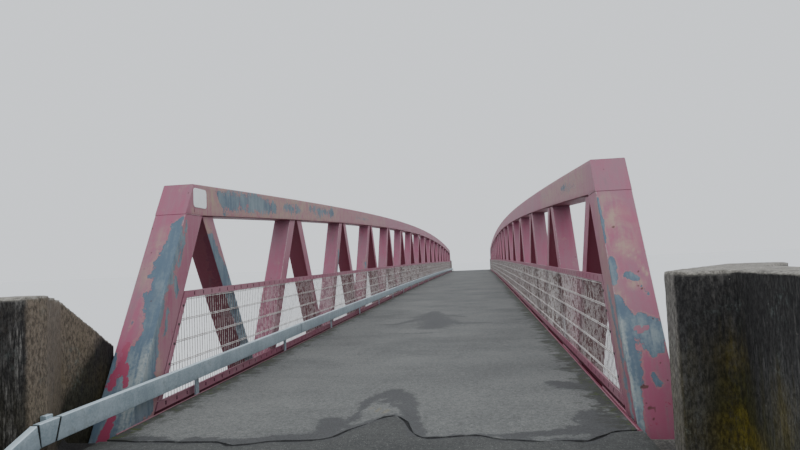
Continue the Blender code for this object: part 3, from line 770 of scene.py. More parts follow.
@dataclass(frozen=True)
class Concrete:
    """Old concrete: dark runs down from the top, a pale worn rim, moss and lichen low down.

    top is the height of the wall's top. From 0 to 1, moss is how much moss it carries, streaky
    how marked its runs are, sheltered how strong the painted shade beside the truss is, crust how
    pale its top, washed how pale the runs on its end are, bare how pale the block's side towards the
    path is and grey how strong the grey wash is half way up. The walls also get darker towards the
    bottom.
    """

    name: str
    top: float = 2.6625
    moss: float = 0.5
    streaky: float = 1.0
    # Strength of the painted shade beside the truss.
    sheltered: float = 0.0
    crust: float = 0.9
    washed: float = 0.0
    bare: float = 0.0
    grey: float = 0.0
    brown: Triple = (0.15, 0.122, 0.094)
    dark: Triple = (0.022, 0.021, 0.021)
    pale: Triple = (0.36, 0.34, 0.30)

    def material(self) -> Material:
        """Build the material.

        Returns:
            The material.
        """
        t = MaterialTree(self.name)
        runs = t.noise(1, 6, 0.65, 0.4, t.scaled((11, 11, 0.9)))
        fine_runs = t.noise(1, 6, 0.7, 0.2, t.scaled((80, 80, 9)))
        broad = t.noise(2.2, 5, 0.6)
        mottle = t.noise(30, 7, 0.75)
        grit = t.noise(150, 5, 0.75)
        height = t.along("Z")
        length = t.math("ABSOLUTE", t.along("Y"))
        outwards = t.step(t.math("ABSOLUTE", t.facing("Y")), 0.6, 0.9)
        weathered = t.math("MAXIMUM", outwards, t.step(length, 18.37, 18.4))
        depth = t.drop(height, self.top - 0.9, self.top)
        # Painted shade beside the truss, strongest low down; it also thins the pale runs, lichen and white
        # flecks there.
        beside = t.drop(t.total((length, 1.0), (broad, 0.2), (depth, -0.67)), 17.38, 17.64)
        beside = beside * self.sheltered
        upward = t.step(t.facing("Z"), 0.12, 0.5)
        hairs = t.noise(1, 7, 0.8, 0.0, t.scaled((150, 150, 12)))
        # Sum of dark runs, tone, the end faces, darkening towards the bottom and the painted shade beside the
        # truss.
        soot_and_shade = t.total((runs, 0.4 * self.streaky), (fine_runs, 0.25 * self.streaky), (mottle, 0.25),
                       (hairs, 0.25), (broad, 0.2), (weathered, 0.26), (depth, 0.12), (beside, 0.4),
                       (beside * depth, 0.25))
        mean = 0.5 * (0.65 * self.streaky + 0.7)
        colour = t.mix(t.step(soot_and_shade, mean - 0.04, mean + 0.3), self.brown, self.dark)
        washed = outwards * self.washed
        light = t.step(t.total((hairs, 0.55), (fine_runs, 0.45), (washed, 0.05)), 0.5,
                       0.66) * t.step(t.total((runs, 0.5), (broad, 0.5)), 0.42, 0.58)
        light = light * (1.0 - beside)
        light = light * t.total((washed, 0.55), (1.0, 0.4))
        colour = t.mix(light, colour, (0.2, 0.19, 0.175))
        low = t.drop(t.total((height, 1.0), (runs, 0.9), (broad, 0.3)), self.top + 0.04, self.top + 0.42)
        green = low * t.step(t.total((runs, 0.4), (mottle, 0.3), (hairs, 0.3)), 0.35, 0.52)
        ledge = upward * t.drop(height, self.top - 0.5, self.top - 0.4)
        green = green * (1.0 - ledge)
        beyond = t.step(length, 18.42, 18.7)
        growth = t.mix(t.step(t.total((t.noise(3.1, 3), 1.0), (beyond, 0.08)), 0.44, 0.6),
                       (0.048, 0.046, 0.006), (0.115, 0.092, 0.006))
        away = t.math("ABSOLUTE", t.along("X"))
        green = green * t.step(away, 1.22, 1.36, (0.4, 1.0))
        colour = t.mix(green * self.moss, colour, growth)
        lichen = t.step(t.noise(4.3, 3), 0.54, 0.66) * t.step(mottle, 0.5, 0.6)
        lichen = lichen * (1.0 - beside)
        colour = t.mix(lichen * 0.3, colour, (0.15, 0.18, 0.165))
        edge = t.drop(away, 1.21, 1.3)
        wash = t.math("MAXIMUM", edge * outwards, beyond)
        wash = wash * t.drop(height, self.top - 0.38, self.top - 0.1)
        wash = wash * t.step(t.total((hairs, 0.4), (runs, 0.3), (mottle, 0.3)), 0.4, 0.58)
        colour = t.mix(wash * self.grey, colour, (0.085, 0.083, 0.08))
        block = t.step(length, 18.27, 18.29) * t.drop(length, 18.37, 18.395)
        block = block * t.drop(away, 1.2, 1.22)
        block = block * t.step(t.total((hairs, 0.4), (mottle, 0.6)), 0.4, 0.6)
        colour = t.mix(block * self.bare, colour, (0.2, 0.185, 0.165))
        flecks = t.cells(120)
        white = t.drop(flecks.distance, 0.1, 0.3) * t.step(flecks.colour, 0.74, 0.84)
        white = white * (1.0 - beside)
        colour = t.mix(white * t.step(mottle, 0.46, 0.62, (0.0, 0.5)), colour, self.pale)
        grain = t.noise(1, 4, 0.75, 0.0, t.scaled((95, 95, 45), 0.4))
        colour = t.shaded(colour, t.step(grain, 0.34, 0.66, (0.5, 1.55)))
        rim = t.step(t.total((height, 1.0), (t.noise(26, 6, 0.75), 0.03)), self.top + 0.001, self.top + 0.008)
        cap = t.math("MAXIMUM", upward, rim)
        cap = cap * t.step(height, self.top - 0.42, self.top - 0.3)
        crust = t.mix(t.step(t.total((grit, 0.5), (mottle, 0.5)), 0.4, 0.6), (0.1, 0.092, 0.08), self.pale)
        colour = t.mix(cap * self.crust, colour, crust)
        rough = grit * 0.12 + 0.84
        relief = t.total((grit, 0.5), (fine_runs, 0.35), (mottle, 0.8))
        return t.finish(colour, rough, height=relief, relief=0.0025, specular=0.25)


@dataclass(frozen=True)
class PlainFinish:
    """Plain finish with a little variation, for small or hidden steel and the white plate."""

    name: str
    colour: Triple
    stain: Triple
    roughness: float
    metallic: float = 0.0
    share: float = 0.4

    def material(self) -> Material:
        """Build the material.

        Returns:
            The material.
        """
        t = MaterialTree(self.name)
        broad = t.noise(12, 6, 0.65)
        fine = t.noise(90, 4, 0.6)
        dirty = t.step(t.total((broad, 0.6), (fine, 0.4)), 0.46, 0.68)
        colour = t.mix(dirty * self.share, self.colour, self.stain)
        rough = dirty * 0.2 + self.roughness
        return t.finish(colour, rough, self.metallic, fine, 0.0004)


class GeometryTree(Tree):
    """Geometry Nodes tree with named inputs, built in code and baked to a plain mesh."""

    def __init__(self, name: str, inputs: dict[str, str]) -> None:
        """Start a tree.

        Args:
            name: Name of the tree.
            inputs: Name and kind of each input, in order.
        """
        super().__init__(bpy.data.node_groups.new(name, "GeometryNodeTree"))
        face = self.tree.interface
        face.new_socket("Geometry", in_out="OUTPUT", socket_type="NodeSocketGeometry")
        self.keys = {label: face.new_socket(label, in_out="INPUT", socket_type=f"NodeSocket{kind}").identifier
                     for label, kind in inputs.items()}
        self.entry = self.add("NodeGroupInput")
        self.exit = self.add("NodeGroupOutput")

    def given(self, label: str) -> Socket:
        """Socket of a named input."""
        return next(s for s in self.entry.outputs if s.name == label)

    def node(self, kind: str, inputs: dict[str | int, object] | None = None, output: str | int = 0,
             **settings: object) -> Socket:
        """Add a node and return one of its outputs.

        Args:
            kind: Its type.
            inputs: Value or socket for each input, by its name or number.
            output: Name or number of the output.
            settings: Properties of the node.
        """
        return self.add(kind, inputs, **settings).outputs[output]

    def math(self, kind: str, a: object, b: object) -> Socket:
        """Result of an operation on two values."""
        return self.node("ShaderNodeMath", {0: a, 1: b}, operation=kind)

    def bake(self, name: str, values: dict[str, object]) -> bpy.types.Mesh:
        """Run the tree on an empty object and return its result as a plain mesh.

        Args:
            name: Name of the mesh.
            values: Value of each named input.

        Returns:
            The mesh.
        """
        carrier = placed(name, bpy.data.meshes.new(name))
        modifier = carrier.modifiers.new("tree", "NODES")
        modifier.node_group = self.tree
        for label, value in values.items():
            modifier[self.keys[label]] = value
        return applied(carrier)


class DeckRow:
    """Repeats one small shape along the deck, following its camber."""

    def __init__(self, layout: Layout) -> None:
        """Build the tree for a bridge of these sizes.

        Args:
            layout: Sizes of the bridge.
        """
        self.layout = layout
        g = GeometryTree("row_along_deck", {
            "Shape": "Object", "Count": "Int", "First": "Float", "Pitch": "Float", "Rise": "Float",
            "Half Span": "Float", "Weld": "Float", "Material": "Material"})
        start = g.node("ShaderNodeCombineXYZ", {1: g.given("First")})
        pitch = g.node("ShaderNodeCombineXYZ", {1: g.given("Pitch")})
        line = g.node("GeometryNodeMeshLine",
                      {"Count": g.given("Count"), "Start Location": start, "Offset": pitch}, mode="OFFSET")
        shape = g.node("GeometryNodeObjectInfo", {0: g.given("Shape")}, "Geometry")
        points = g.node("GeometryNodeInstanceOnPoints", {"Points": line, "Instance": shape})
        real = g.node("GeometryNodeRealizeInstances", {0: points})
        weld = g.node("GeometryNodeMergeByDistance", {"Geometry": real, "Distance": g.given("Weld")})
        y = g.node("ShaderNodeSeparateXYZ", {0: g.node("GeometryNodeInputPosition")}, "Y")
        share = g.math("DIVIDE", y, g.given("Half Span"))
        drop = g.math("SUBTRACT", 1.0, g.math("MULTIPLY", share, share))
        lift = g.node("ShaderNodeCombineXYZ", {2: g.math("MULTIPLY", g.given("Rise"), drop)})
        move = g.node("GeometryNodeSetPosition", {"Geometry": weld, "Offset": lift})
        skin = g.node("GeometryNodeSetMaterial", {"Geometry": move, "Material": g.given("Material")})
        g.set(g.exit.inputs[0], skin)
        self.tree = g

    def make(self, name: str, shape: Shape, count: int, first: float, pitch: float,
             material: Material) -> bpy.types.Object:
        """Make one piece from a repeated shape, with open ends closed.

        Args:
            name: Name of the piece.
            shape: Points and faces of the shape, about the plane y = 0.
            count: How many.
            first: Y of the first.
            pitch: Distance between two.
            material: Finish.

        Returns:
            The piece, linked to the scene.
        """
        sample_mesh = bpy.data.meshes.new("sample")
        sample_mesh.from_pydata(shape[0], [], shape[1])
        sample = placed("sample", sample_mesh)
        mesh = self.tree.bake(name, {
            "Shape": sample, "Count": count, "First": first, "Pitch": pitch,
            "Rise": self.layout.deck_rise, "Half Span": self.layout.half_span, "Weld": WELD,
            "Material": material})
        bpy.data.objects.remove(sample)
        work = bmesh.new()
        work.from_mesh(mesh)
        open_edges = [e for e in work.edges if len(e.link_faces) == 1]
        if open_edges:
            bmesh.ops.holes_fill(work, edges=open_edges, sides=0)
        bmesh.ops.recalc_face_normals(work, faces=work.faces)
        work.to_mesh(mesh)
        work.free()
        return placed(name, mesh)


def slotted_length(pitch: float, face: float, slot: Pair, reach: Pair, base: float,
                   front: Side) -> Shape:
    """One length of a flat bar with an upright blind slot in its face, open at its two ends.

    Args:
        pitch: Length along Y.
        face: Height of the bar.
        slot: Width and height of the slot.
        reach: Lower and upper X.
        base: Height of its underside.
        front: Side of the path that the bar is on, whose slots look towards the path.

    Returns:
        The points and faces.
    """
    across = (0.0, (pitch - slot[0]) / 2, (pitch + slot[0]) / 2, pitch)
    up = (0.0, (face - slot[1]) / 2, (face + slot[1]) / 2, face)
    front_x, back_x = reversed(reach) if front is Side.LEFT else reach
    floor_x = front_x + (back_x - front_x) * SLOT_DEPTH_SHARE
    points = [Vector((x, y, base + z)) for x in (front_x, back_x) for z in up for y in across]

    def at(layer: int, row: int, column: int) -> int:
        """Number of a point."""
        return layer * 16 + row * 4 + column

    faces = []
    for layer in (0, 1):
        for row in range(3):
            for column in range(3):
                if layer or (row, column) != (1, 1):
                    faces.append([at(layer, row, column), at(layer, row, column + 1),
                                  at(layer, row + 1, column + 1), at(layer, row + 1, column)])
    for column in range(3):
        for row in (0, 3):
            faces.append([at(0, row, column), at(0, row, column + 1),
                          at(1, row, column + 1), at(1, row, column)])
    hole = [at(0, 1, 1), at(0, 1, 2), at(0, 2, 2), at(0, 2, 1)]
    floor = [len(points) + k for k in range(4)]
    points += [Vector((floor_x, *points[k][1:])) for k in hole]
    faces.append(floor)
    for k in range(4):
        after = (k + 1) % 4
        faces.append([hole[k], hole[after], floor[after], floor[k]])
    return points, faces


def prism(radius: float, low: float, high: float, x: float, sides: int) -> Shape:
    """Upright bar with a round or many-sided section, about y = 0."""
    return loft([[Vector((x + c, s, z)) for c, s in circle(radius, sides)] for z in (low, high)])


@dataclass
class Finishes:
    """Materials that several pieces share, made once."""

    paint: Material
    low_paint: Material
    galvanised: Material
    wire: Material
    asphalt: Material
    approach_asphalt: Material
    brown_concrete: Material
    mossy_concrete: Material
    low_concrete: Material
    plate: Material
    steel: Material
    filler: Material
    shaded_paint: Material

    @classmethod
    def make(cls) -> "Finishes":
        """Make them all.

        Returns:
            The finishes.
        """
        return cls(
            paint=PeelingPaint("faded_pink_paint").material(),
            # Darker copy of the pink paint for the steel below the deck: unfaded paint and painted shade.
            low_paint=PeelingPaint("sheltered_pink_paint", thin=0.2, faded=(0.19, 0.045, 0.075),
                                   front_shade=(0.19, 0.045, 0.075), strong=(0.22, 0.035, 0.07)).material(),
            galvanised=Galvanised("galvanised_rail").material(),
            wire=Galvanised("weathered_wire", (0.30, 0.27, 0.26), (0.56, 0.54, 0.51),
                            (0.10, 0.055, 0.05), 0.0, 0.9).material(),
            asphalt=Asphalt("worn_asphalt").material(),
            approach_asphalt=Asphalt("dark_asphalt", 1.1, 0.5).material(),
            brown_concrete=Concrete("brown_concrete", moss=0.25, streaky=0.35, sheltered=1.0,
                                    washed=1.0).material(),
            mossy_concrete=Concrete("mossy_concrete", moss=0.82, washed=0.15, bare=0.6, grey=0.7,
                                    brown=(0.14, 0.13, 0.118)).material(),
            low_concrete=Concrete("abutment_concrete", 1.5, 0.6, crust=0.3,
                                  brown=(0.17, 0.155, 0.13)).material(),
            plate=PlainFinish("white_enamel", (0.82, 0.85, 0.86), (0.60, 0.60, 0.56), 0.35,
                              share=0.25).material(),
            steel=PlainFinish("dark_bearing_steel", (0.06, 0.055, 0.055), (0.13, 0.07, 0.04), 0.6,
                              0.3).material(),
            # Near-black finish for the crack's bottom and the rail's sleeves: painted shade in those gaps.
            filler=PlainFinish("crack_filler", (0.012, 0.012, 0.013), (0.03, 0.03, 0.026), 0.9).material(),
            # Dark red for the plate under the lower strip: painted shade.
            shaded_paint=PlainFinish("shaded_paint", (0.065, 0.008, 0.018), (0.02, 0.01, 0.012),
                                     0.5).material(),
        )


def strokes_of(make: Callable[..., Stroke], table: Marks) -> list[Stroke]:
    """Strokes of a table that gives, for each mark, rows of a strength and points."""
    return [make(mark, *row) for mark, rows in table.items() for row in rows]


# Tables of marks: for each one, rows of its strength and the points of a line.
# Chords, inner sides of the posts: (y, z, radius).
CHORD_MARKS: dict[Side, Marks] = {
    Side.LEFT: {
        "primer": (
            (0.78, (-16.58, 3.25, 0.02), (-16.45, 3.20, 0.07), (-15.9, 3.24, 0.09), (-15.36, 3.24, 0.05)),
            (0.66, (-15.08, 3.27, 0.06), (-14.62, 3.28, 0.06)),
            (0.62, (-14.25, 3.32, 0.06), (-13.2, 3.35, 0.06)),
            (0.5, (-11.7, 3.4, 0.05), (-10.7, 3.42, 0.05))),
        "ochre": (
            (1.0, (-16.68, 3.2, 0.1), (-15.3, 3.25, 0.22), (-13.0, 3.38, 0.16)),
            (0.5, (-13.0, 3.38, 0.16), (-9.0, 3.45, 0.16)),
            (0.8, (-16.93, 3.10, 0.02), (-16.74, 3.09, 0.02))),
        "rust": (
            (0.8, (-16.913, 3.168, 0.006), (-16.915, 3.09, 0.003)),
            (0.8, (-16.757, 3.162, 0.006), (-16.757, 3.09, 0.003))),
    },
    Side.RIGHT: {
        "primer": (
            (0.5, (-16.3, 3.2, 0.06), (-15.6, 3.24, 0.05)),
            (0.42, (-14.8, 3.28, 0.05), (-13.9, 3.33, 0.05))),
        "ochre": ((0.6, (-16.6, 3.2, 0.12), (-14.2, 3.3, 0.1)),),
    },
}
# Sloping faces of the posts: (share of the width, z, radius).
SLOPE_MARKS: dict[Side, Marks] = {
    Side.LEFT: {
        "primer": (
            (1.2, (0.08, 3.05, 0.012), (0.18, 3.0, 0.03), (0.16, 2.9, 0.045), (0.26, 2.78, 0.055),
             (0.22, 2.66, 0.042), (0.3, 2.57, 0.05), (0.12, 2.46, 0.045), (0.1, 2.36, 0.055),
             (0.22, 2.28, 0.075), (0.36, 2.2, 0.085), (0.4, 2.1, 0.1), (0.5, 1.85, 0.12)),
            (1.1, (0.0, 2.42, 0.03), (-0.05, 2.3, 0.06), (0.0, 2.0, 0.09), (0.0, 1.8, 0.09)),
            (1.0, (0.97, 2.31, 0.012), (0.93, 2.24, 0.03), (0.95, 2.1, 0.045), (0.9, 1.85, 0.06)),
            (0.9, (0.6, 2.71, 0.016)), (0.85, (0.72, 2.47, 0.012), (0.75, 2.43, 0.01)),
            (0.85, (0.56, 2.62, 0.015), (0.6, 2.6, 0.01))),
        "fresh": (
            (0.9, (0.7, 2.36, 0.02), (0.72, 2.27, 0.028), (0.82, 2.16, 0.025)),
            (0.9, (0.56, 2.25, 0.018), (0.47, 2.2, 0.016), (0.42, 2.16, 0.014)),
            (1.0, (0.56, 2.03, 0.02), (0.62, 1.9, 0.03)), (0.22, (0.7, 2.55, 0.05), (0.68, 2.38, 0.06))),
        "chalky": (
            (0.6, (0.02, 2.36, 0.02), (0.1, 2.2, 0.035), (0.18, 2.05, 0.035), (0.1, 1.9, 0.03)),
            (0.25, (0.3, 2.3, 0.03), (0.4, 2.0, 0.05))),
        "ochre": (
            (0.8, (0.02, 2.4, 0.03), (0.0, 2.2, 0.05), (0.02, 2.0, 0.05)),
            (0.5, (0.55, 2.95, 0.04), (0.75, 2.7, 0.05))),
        "rust": ((1.0, (0.97, 2.99, 0.006), (0.9, 2.985, 0.004)),),
    },
    Side.RIGHT: {
        "ochre": (
            (0.75, (0.25, 3.0, 0.05), (0.35, 2.86, 0.07), (0.45, 2.76, 0.05)),
            (1.0, (0.35, 2.735, 0.006), (0.7, 2.70, 0.007), (0.92, 2.61, 0.005)),
            (1.0, (0.5, 2.57, 0.02), (0.72, 2.575, 0.016)), (1.0, (0.15, 2.52, 0.022), (0.2, 2.48, 0.018)),
            (0.9, (0.3, 2.77, 0.008), (0.6, 2.755, 0.006), (0.85, 2.72, 0.004))),
        "primer": (
            (0.8, (0.02, 3.03, 0.006), (0.03, 2.9, 0.009), (0.02, 2.78, 0.006)),
            (1.0, (0.1, 2.7, 0.016), (0.08, 2.65, 0.02), (0.06, 2.58, 0.012)),
            (1.1, (0.42, 2.615, 0.02), (0.62, 2.6, 0.016)), (0.9, (0.7, 2.56, 0.004), (0.85, 2.52, 0.006)),
            (1.15, (0.08, 2.5, 0.02), (0.14, 2.4, 0.04), (0.3, 2.38, 0.036), (0.55, 2.4, 0.03),
             (0.8, 2.37, 0.04), (0.82, 2.28, 0.03)),
            (1.1, (0.45, 2.35, 0.03), (0.62, 2.3, 0.035), (0.66, 2.25, 0.014)),
            (1.1, (0.1, 2.38, 0.04), (0.12, 2.25, 0.035), (0.17, 2.14, 0.024), (0.06, 2.05, 0.018),
             (0.03, 1.85, 0.014)), (-1.5, (0.36, 2.375, 0.011), (0.5, 2.35, 0.012)),
            (-1.5, (0.62, 2.37, 0.01)), (1.0, (0.56, 2.165, 0.014), (0.62, 2.125, 0.018))),
        "chalky": (
            (0.5, (0.02, 2.4, 0.02), (0.04, 2.1, 0.02), (0.03, 1.85, 0.014)),
            (0.2, (0.5, 2.36, 0.06), (0.85, 2.32, 0.05))),
        "fresh": (
            (0.3, (0.5, 2.2, 0.09), (0.5, 1.8, 0.14)), (0.2, (0.9, 2.9, 0.03), (0.6, 2.95, 0.04))),
        "rust": (
            (1.0, (0.28, 2.865, 0.007), (0.34, 2.86, 0.006)), (0.9, (0.27, 2.81, 0.005)),
            (1.0, (0.22, 2.119, 0.004), (0.36, 2.117, 0.003)),
            (1.0, (0.34, 2.045, 0.004), (0.42, 2.03, 0.005), (0.46, 2.02, 0.003)),
            (0.9, (0.3, 2.155, 0.004)), (0.9, (0.36, 1.97, 0.004)),
            (0.8, (0.55, 2.56, 0.003), (0.72, 2.545, 0.003), (0.85, 2.54, 0.003)),
            (0.9, (0.25, 2.72, 0.004)), (0.9, (0.28, 2.66, 0.003)), (0.8, (0.7, 2.63, 0.003)),
            (0.8, (0.8, 2.6, 0.003)), (0.8, (0.5, 2.58, 0.003)), (0.8, (0.25, 2.245, 0.004)),
            (0.9, (0.9, 2.4, 0.006)), (0.9, (0.76, 2.218, 0.006)), (0.9, (0.2, 2.22, 0.006)),
            (0.9, (0.3, 2.03, 0.007)), (0.9, (0.35, 1.99, 0.006)), (0.9, (0.62, 2.56, 0.005))),
    },
}
POST_SIDE_MARKS: dict[Side, Marks] = {
    Side.LEFT: {
        "primer": (
            (0.8, (-17.02, 3.03, 0.014), (-17.06, 2.9, 0.02), (-17.13, 2.76, 0.016)),
            (0.9, (-17.172, 2.69, 0.02), (-17.158, 2.63, 0.028), (-17.17, 2.585, 0.01)),
            (0.75, (-17.27, 2.52, 0.02), (-17.31, 2.4, 0.03)),
            (0.95, (-17.42, 2.36, 0.03), (-17.47, 2.2, 0.055), (-17.5, 2.05, 0.06))),
        "ochre": ((0.9, (-17.38, 2.24, 0.04), (-17.5, 1.95, 0.06)),),
        "fresh": ((0.2, (-17.25, 2.6, 0.04), (-17.33, 2.45, 0.04)),),
    },
    Side.RIGHT: {
        "primer": ((0.66, (-17.2, 2.55, 0.03), (-17.35, 2.35, 0.045), (-17.6, 1.95, 0.03)),),
        "ochre": ((0.6, (-17.1, 2.8, 0.06), (-17.4, 2.2, 0.08)),),
    },
}
# Diagonals: (way out from their inner face, y, z, radius).
LEG_MARKS: Marks = {
    "primer": (
        (1.0, (0.0, -16.65, 2.92, 0.05), (0.0, -16.23, 2.4, 0.11), (0.0, -15.98, 2.0, 0.1)),
        (1.0, (0.06, -14.96, 2.97, 0.03), (0.1, -14.98, 2.93, 0.03)),
        (0.9, (0.0, -12.9, 2.9, 0.03), (0.0, -13.0, 2.6, 0.03)),
        (0.9, (-0.05, -10.9, 2.9, 0.04), (0.0, -11.1, 2.5, 0.03))),
    "ochre": ((1.0, (0.0, -16.72, 3.05, 0.03), (0.0, -16.68, 2.99, 0.03)),),
}


@dataclass
class SidePart:
    """What stands on one side of the path."""

    side: Side
    layout: Layout
    finishes: Finishes

    def name(self, part: str) -> str:
        """Name of a node or piece of this side."""
        return f"{self.side.name.lower()}_{part}"

    def reach(self, inner: float, width: float) -> Pair:
        """Lower and upper X of what begins at a distance from the middle."""
        return reach_of(self.side, inner, inner + width)


@dataclass
class Truss(SidePart):
    """One side truss: top chord, end posts, diagonals and bottom chord."""

    edge_radius: float = 0.006
    leg_width: float = 0.1525
    leg_depth: float = 0.14
    leg_inset: float = 0.015
    leg_half_gap: float = 0.025
    fine: float = 0.014
    middling: float = 0.03
    coarse: float = 0.35
    fine_until: float = -10.5
    fine_bays: int = 2
    knee_share: float = 0.06
    chord_cells: Cell = (9, 6)
    near_post_cells: Cell = (16, 14)
    far_post_cells: Cell = (4, 4)
    near_leg_cells: Cell = (5, 5)
    leg_cells: Cell = (2, 2)
    bead: float = 0.003
    bead_sides: int = 5
    seat: float = 0.0003

    def build(self) -> None:
        """Make every piece of the truss."""
        self.build_top_chord()
        seams = self.build_end_post(End.NEAR) + self.build_end_post(End.FAR) + self.build_diagonals()
        self.build_beads(seams)
        dress(self.finishes.low_paint, self.name("bottom_chord"))

    def build_top_chord(self) -> None:
        """Make the arched chord, with fine cells near the approach for its worn paint."""
        lay = self.layout
        knee_low = lay.half_span + lay.post_run
        knee_high = knee_low - lay.post_slope * lay.chord_depth
        top = lay.chord_low + lay.chord_depth
        knee_top = top + lay.camber(-knee_high, lay.chord_rise)
        knee: list[Slice] = [
            ((-knee_low + share * lay.post_run, lay.chord_low),
             (-knee_high + share * (knee_high - lay.half_span), knee_top + share * (top - knee_top)))
            for share in spread(0, 1, self.knee_share)]
        steps = [k * lay.half_bay for k in range(-lay.bays + 1, lay.bays)]
        steps += spread(-lay.half_span, self.fine_until, self.middling)
        steps += spread(self.fine_until, lay.half_span, self.coarse)
        span = []
        for y in sorted({round(v, 5) for v in steps if abs(v) < lay.half_span - 0.001}):
            low_z = lay.chord_low + lay.camber(y, lay.chord_rise)
            span.append(((y, low_z), (y, low_z + lay.chord_depth)))
        shape = box_member(knee + span + mirrored(knee[::-1], -1), self.reach(lay.inner_x, lay.chord_width),
                           self.edge_radius, self.chord_cells)
        strokes = strokes_of(self.inner_mark, CHORD_MARKS[self.side])
        new_piece(self.name("arched_chord"), shape, self.finishes.paint, "faded_pink_paint",
                  self.name("top_chord"), strokes=strokes)

    def inner_mark(self, mark: str, strength: float, *places: Triple) -> Stroke:
        """Mark on the face towards the path, from points (y, z, radius)."""
        x = self.side.value * self.layout.inner_x
        return Stroke(mark, tuple((x, *place) for place in places), strength)

    def slope_mark(self, mark: str, strength: float, *places: Triple) -> Stroke:
        """Mark on the near end post's face towards the approach.

        Args:
            mark: Attribute that it goes into.
            strength: Its strength.
            places: Points (share of the width from the edge by the path, z, radius).

        Returns:
            The stroke.
        """
        lay = self.layout
        return Stroke(mark, tuple(
            (self.side.value * (lay.inner_x + share * lay.chord_width), lay.post_outer_y(z), z, radius)
            for share, z, radius in places), strength)

    def leg_mark(self, mark: str, strength: float, *places: tuple[float, ...]) -> Stroke:
        """Mark on the legs, from points (way from their inner face along X, y, z, radius)."""
        x = self.side.value * (self.layout.inner_x + self.leg_inset)
        return Stroke(mark, tuple((x + out, *place) for out, *place in places), strength)

    def build_end_post(self, end: End) -> list[Seam]:
        """Make one end post from level slices.

        Args:
            end: Near or far.

        Returns:
            The slices at its ends with its X, where the weld beads run.
        """
        lay = self.layout
        near = end is End.NEAR
        foot_y = lay.post_inner_y(lay.bottom_chord_top)
        foot = lay.bottom_chord_top + lay.camber(foot_y, lay.deck_rise) + self.seat
        heights = spread(foot, lay.chord_low - self.seat, self.fine if near else self.coarse)
        slices = mirrored([((lay.post_inner_y(z), z), (lay.post_outer_y(z), z)) for z in heights],
                          -end.value)
        reach = self.reach(lay.inner_x, lay.chord_width)
        cells = self.near_post_cells if near else self.far_post_cells
        shape = box_member(slices, reach, self.edge_radius, cells)
        strokes = []
        if near:
            strokes = (strokes_of(self.slope_mark, SLOPE_MARKS[self.side])
                       + strokes_of(self.inner_mark, POST_SIDE_MARKS[self.side]))
        label = end.name.lower()
        new_piece(self.name(f"{label}_sloping_post"), shape, self.finishes.paint, "faded_pink_paint",
                  self.name(f"{label}_end_post"), strokes=strokes)
        return [(slices[0], reach), (slices[-1], reach)]

    def build_beads(self, seams: Sequence[Seam]) -> None:
        """Make the weld beads round the ends of the posts and legs.

        Args:
            seams: For each bead the slice that it runs round and the member's lower and upper X.
        """
        shapes = []
        for (low, high), reach in seams:
            start = Vector((0, *low))
            run = Vector((0, *high)) - start
            along = run.normalized()
            axis = Vector((1, 0, 0)).cross(along)
            centre = start + run / 2 + Vector(((reach[0] + reach[1]) / 2, 0, 0))
            rings = []
            for a, w in rounded_ring(run.length, reach[1] - reach[0], self.edge_radius, (1, 1), 2):
                place = start + along * a + Vector((reach[0] + w, 0, 0))
                out = (place - centre).normalized()
                rings.append([place + (out * c + axis * s) * self.bead
                              for c, s in circle(1.0, self.bead_sides)])
            shapes.append(loft(rings, closed=True))
        new_piece(self.name("weld_beads"), joined(shapes), self.finishes.paint, "faded_pink_paint",
                  strokes=[])

    def leg_slices(self, top_y: float, direction: int, step: float) -> list[Slice]:
        """Level slices of one diagonal, the first and last cut to the chords.

        Args:
            top_y: Frame point of the top chord that it starts from.
            direction: 1 where it runs towards the far end on its way down, else -1.
            step: Distance between two slices.

        Returns:
            The slices, from the foot up.
        """
        lay = self.layout
        high = lay.chord_low + lay.camber(top_y, lay.chord_rise)
        low = lay.bottom_chord_top + lay.camber(top_y + direction * lay.half_bay, lay.deck_rise)
        run, slope = self.leg_depth, 0.0
        for _ in range(8):
            slope = (lay.half_bay - 2 * self.leg_half_gap - run) / (high - low)
            run = self.leg_depth * math.hypot(1, slope)
        slices: list[Slice] = []
        for z in spread(low + self.seat, high - self.seat, step):
            start = top_y + direction * (self.leg_half_gap + slope * (high - z))
            slices.append(((start, z), (start + direction * run, z)))
        for k, base, rise, seat in ((-1, lay.chord_low, lay.chord_rise, -self.seat),
                                    (0, lay.bottom_chord_top, lay.deck_rise, self.seat)):
            slices[k] = tuple((y, base + lay.camber(y, rise) + seat) for y, _ in slices[k])
        return slices

    def build_diagonals(self) -> list[Seam]:
        """Make all diagonals of the truss.

        Returns:
            The slices at their ends, with their X.
        """
        lay = self.layout
        reach = self.reach(lay.inner_x + self.leg_inset, self.leg_width)
        shapes = []
        seams: list[Seam] = []
        for k in range(lay.bays):
            left = -lay.half_span + k * 2 * lay.half_bay
            near = k < self.fine_bays
            step = self.middling if near else self.coarse
            cells = self.near_leg_cells if near else self.leg_cells
            for top_y, direction in ((left, 1), (left + 2 * lay.half_bay, -1)):
                slices = self.leg_slices(top_y, direction, step)
                shapes.append(box_member(slices, reach, self.edge_radius, cells))
                seams += [(slices[0], reach), (slices[-1], reach)]
        strokes = strokes_of(self.leg_mark, LEG_MARKS) if self.side is Side.LEFT else []
        new_piece(self.name("leaning_legs"), joined(shapes), self.finishes.paint, "faded_pink_paint",
                  self.name("diagonals"), strokes=strokes)
        return seams


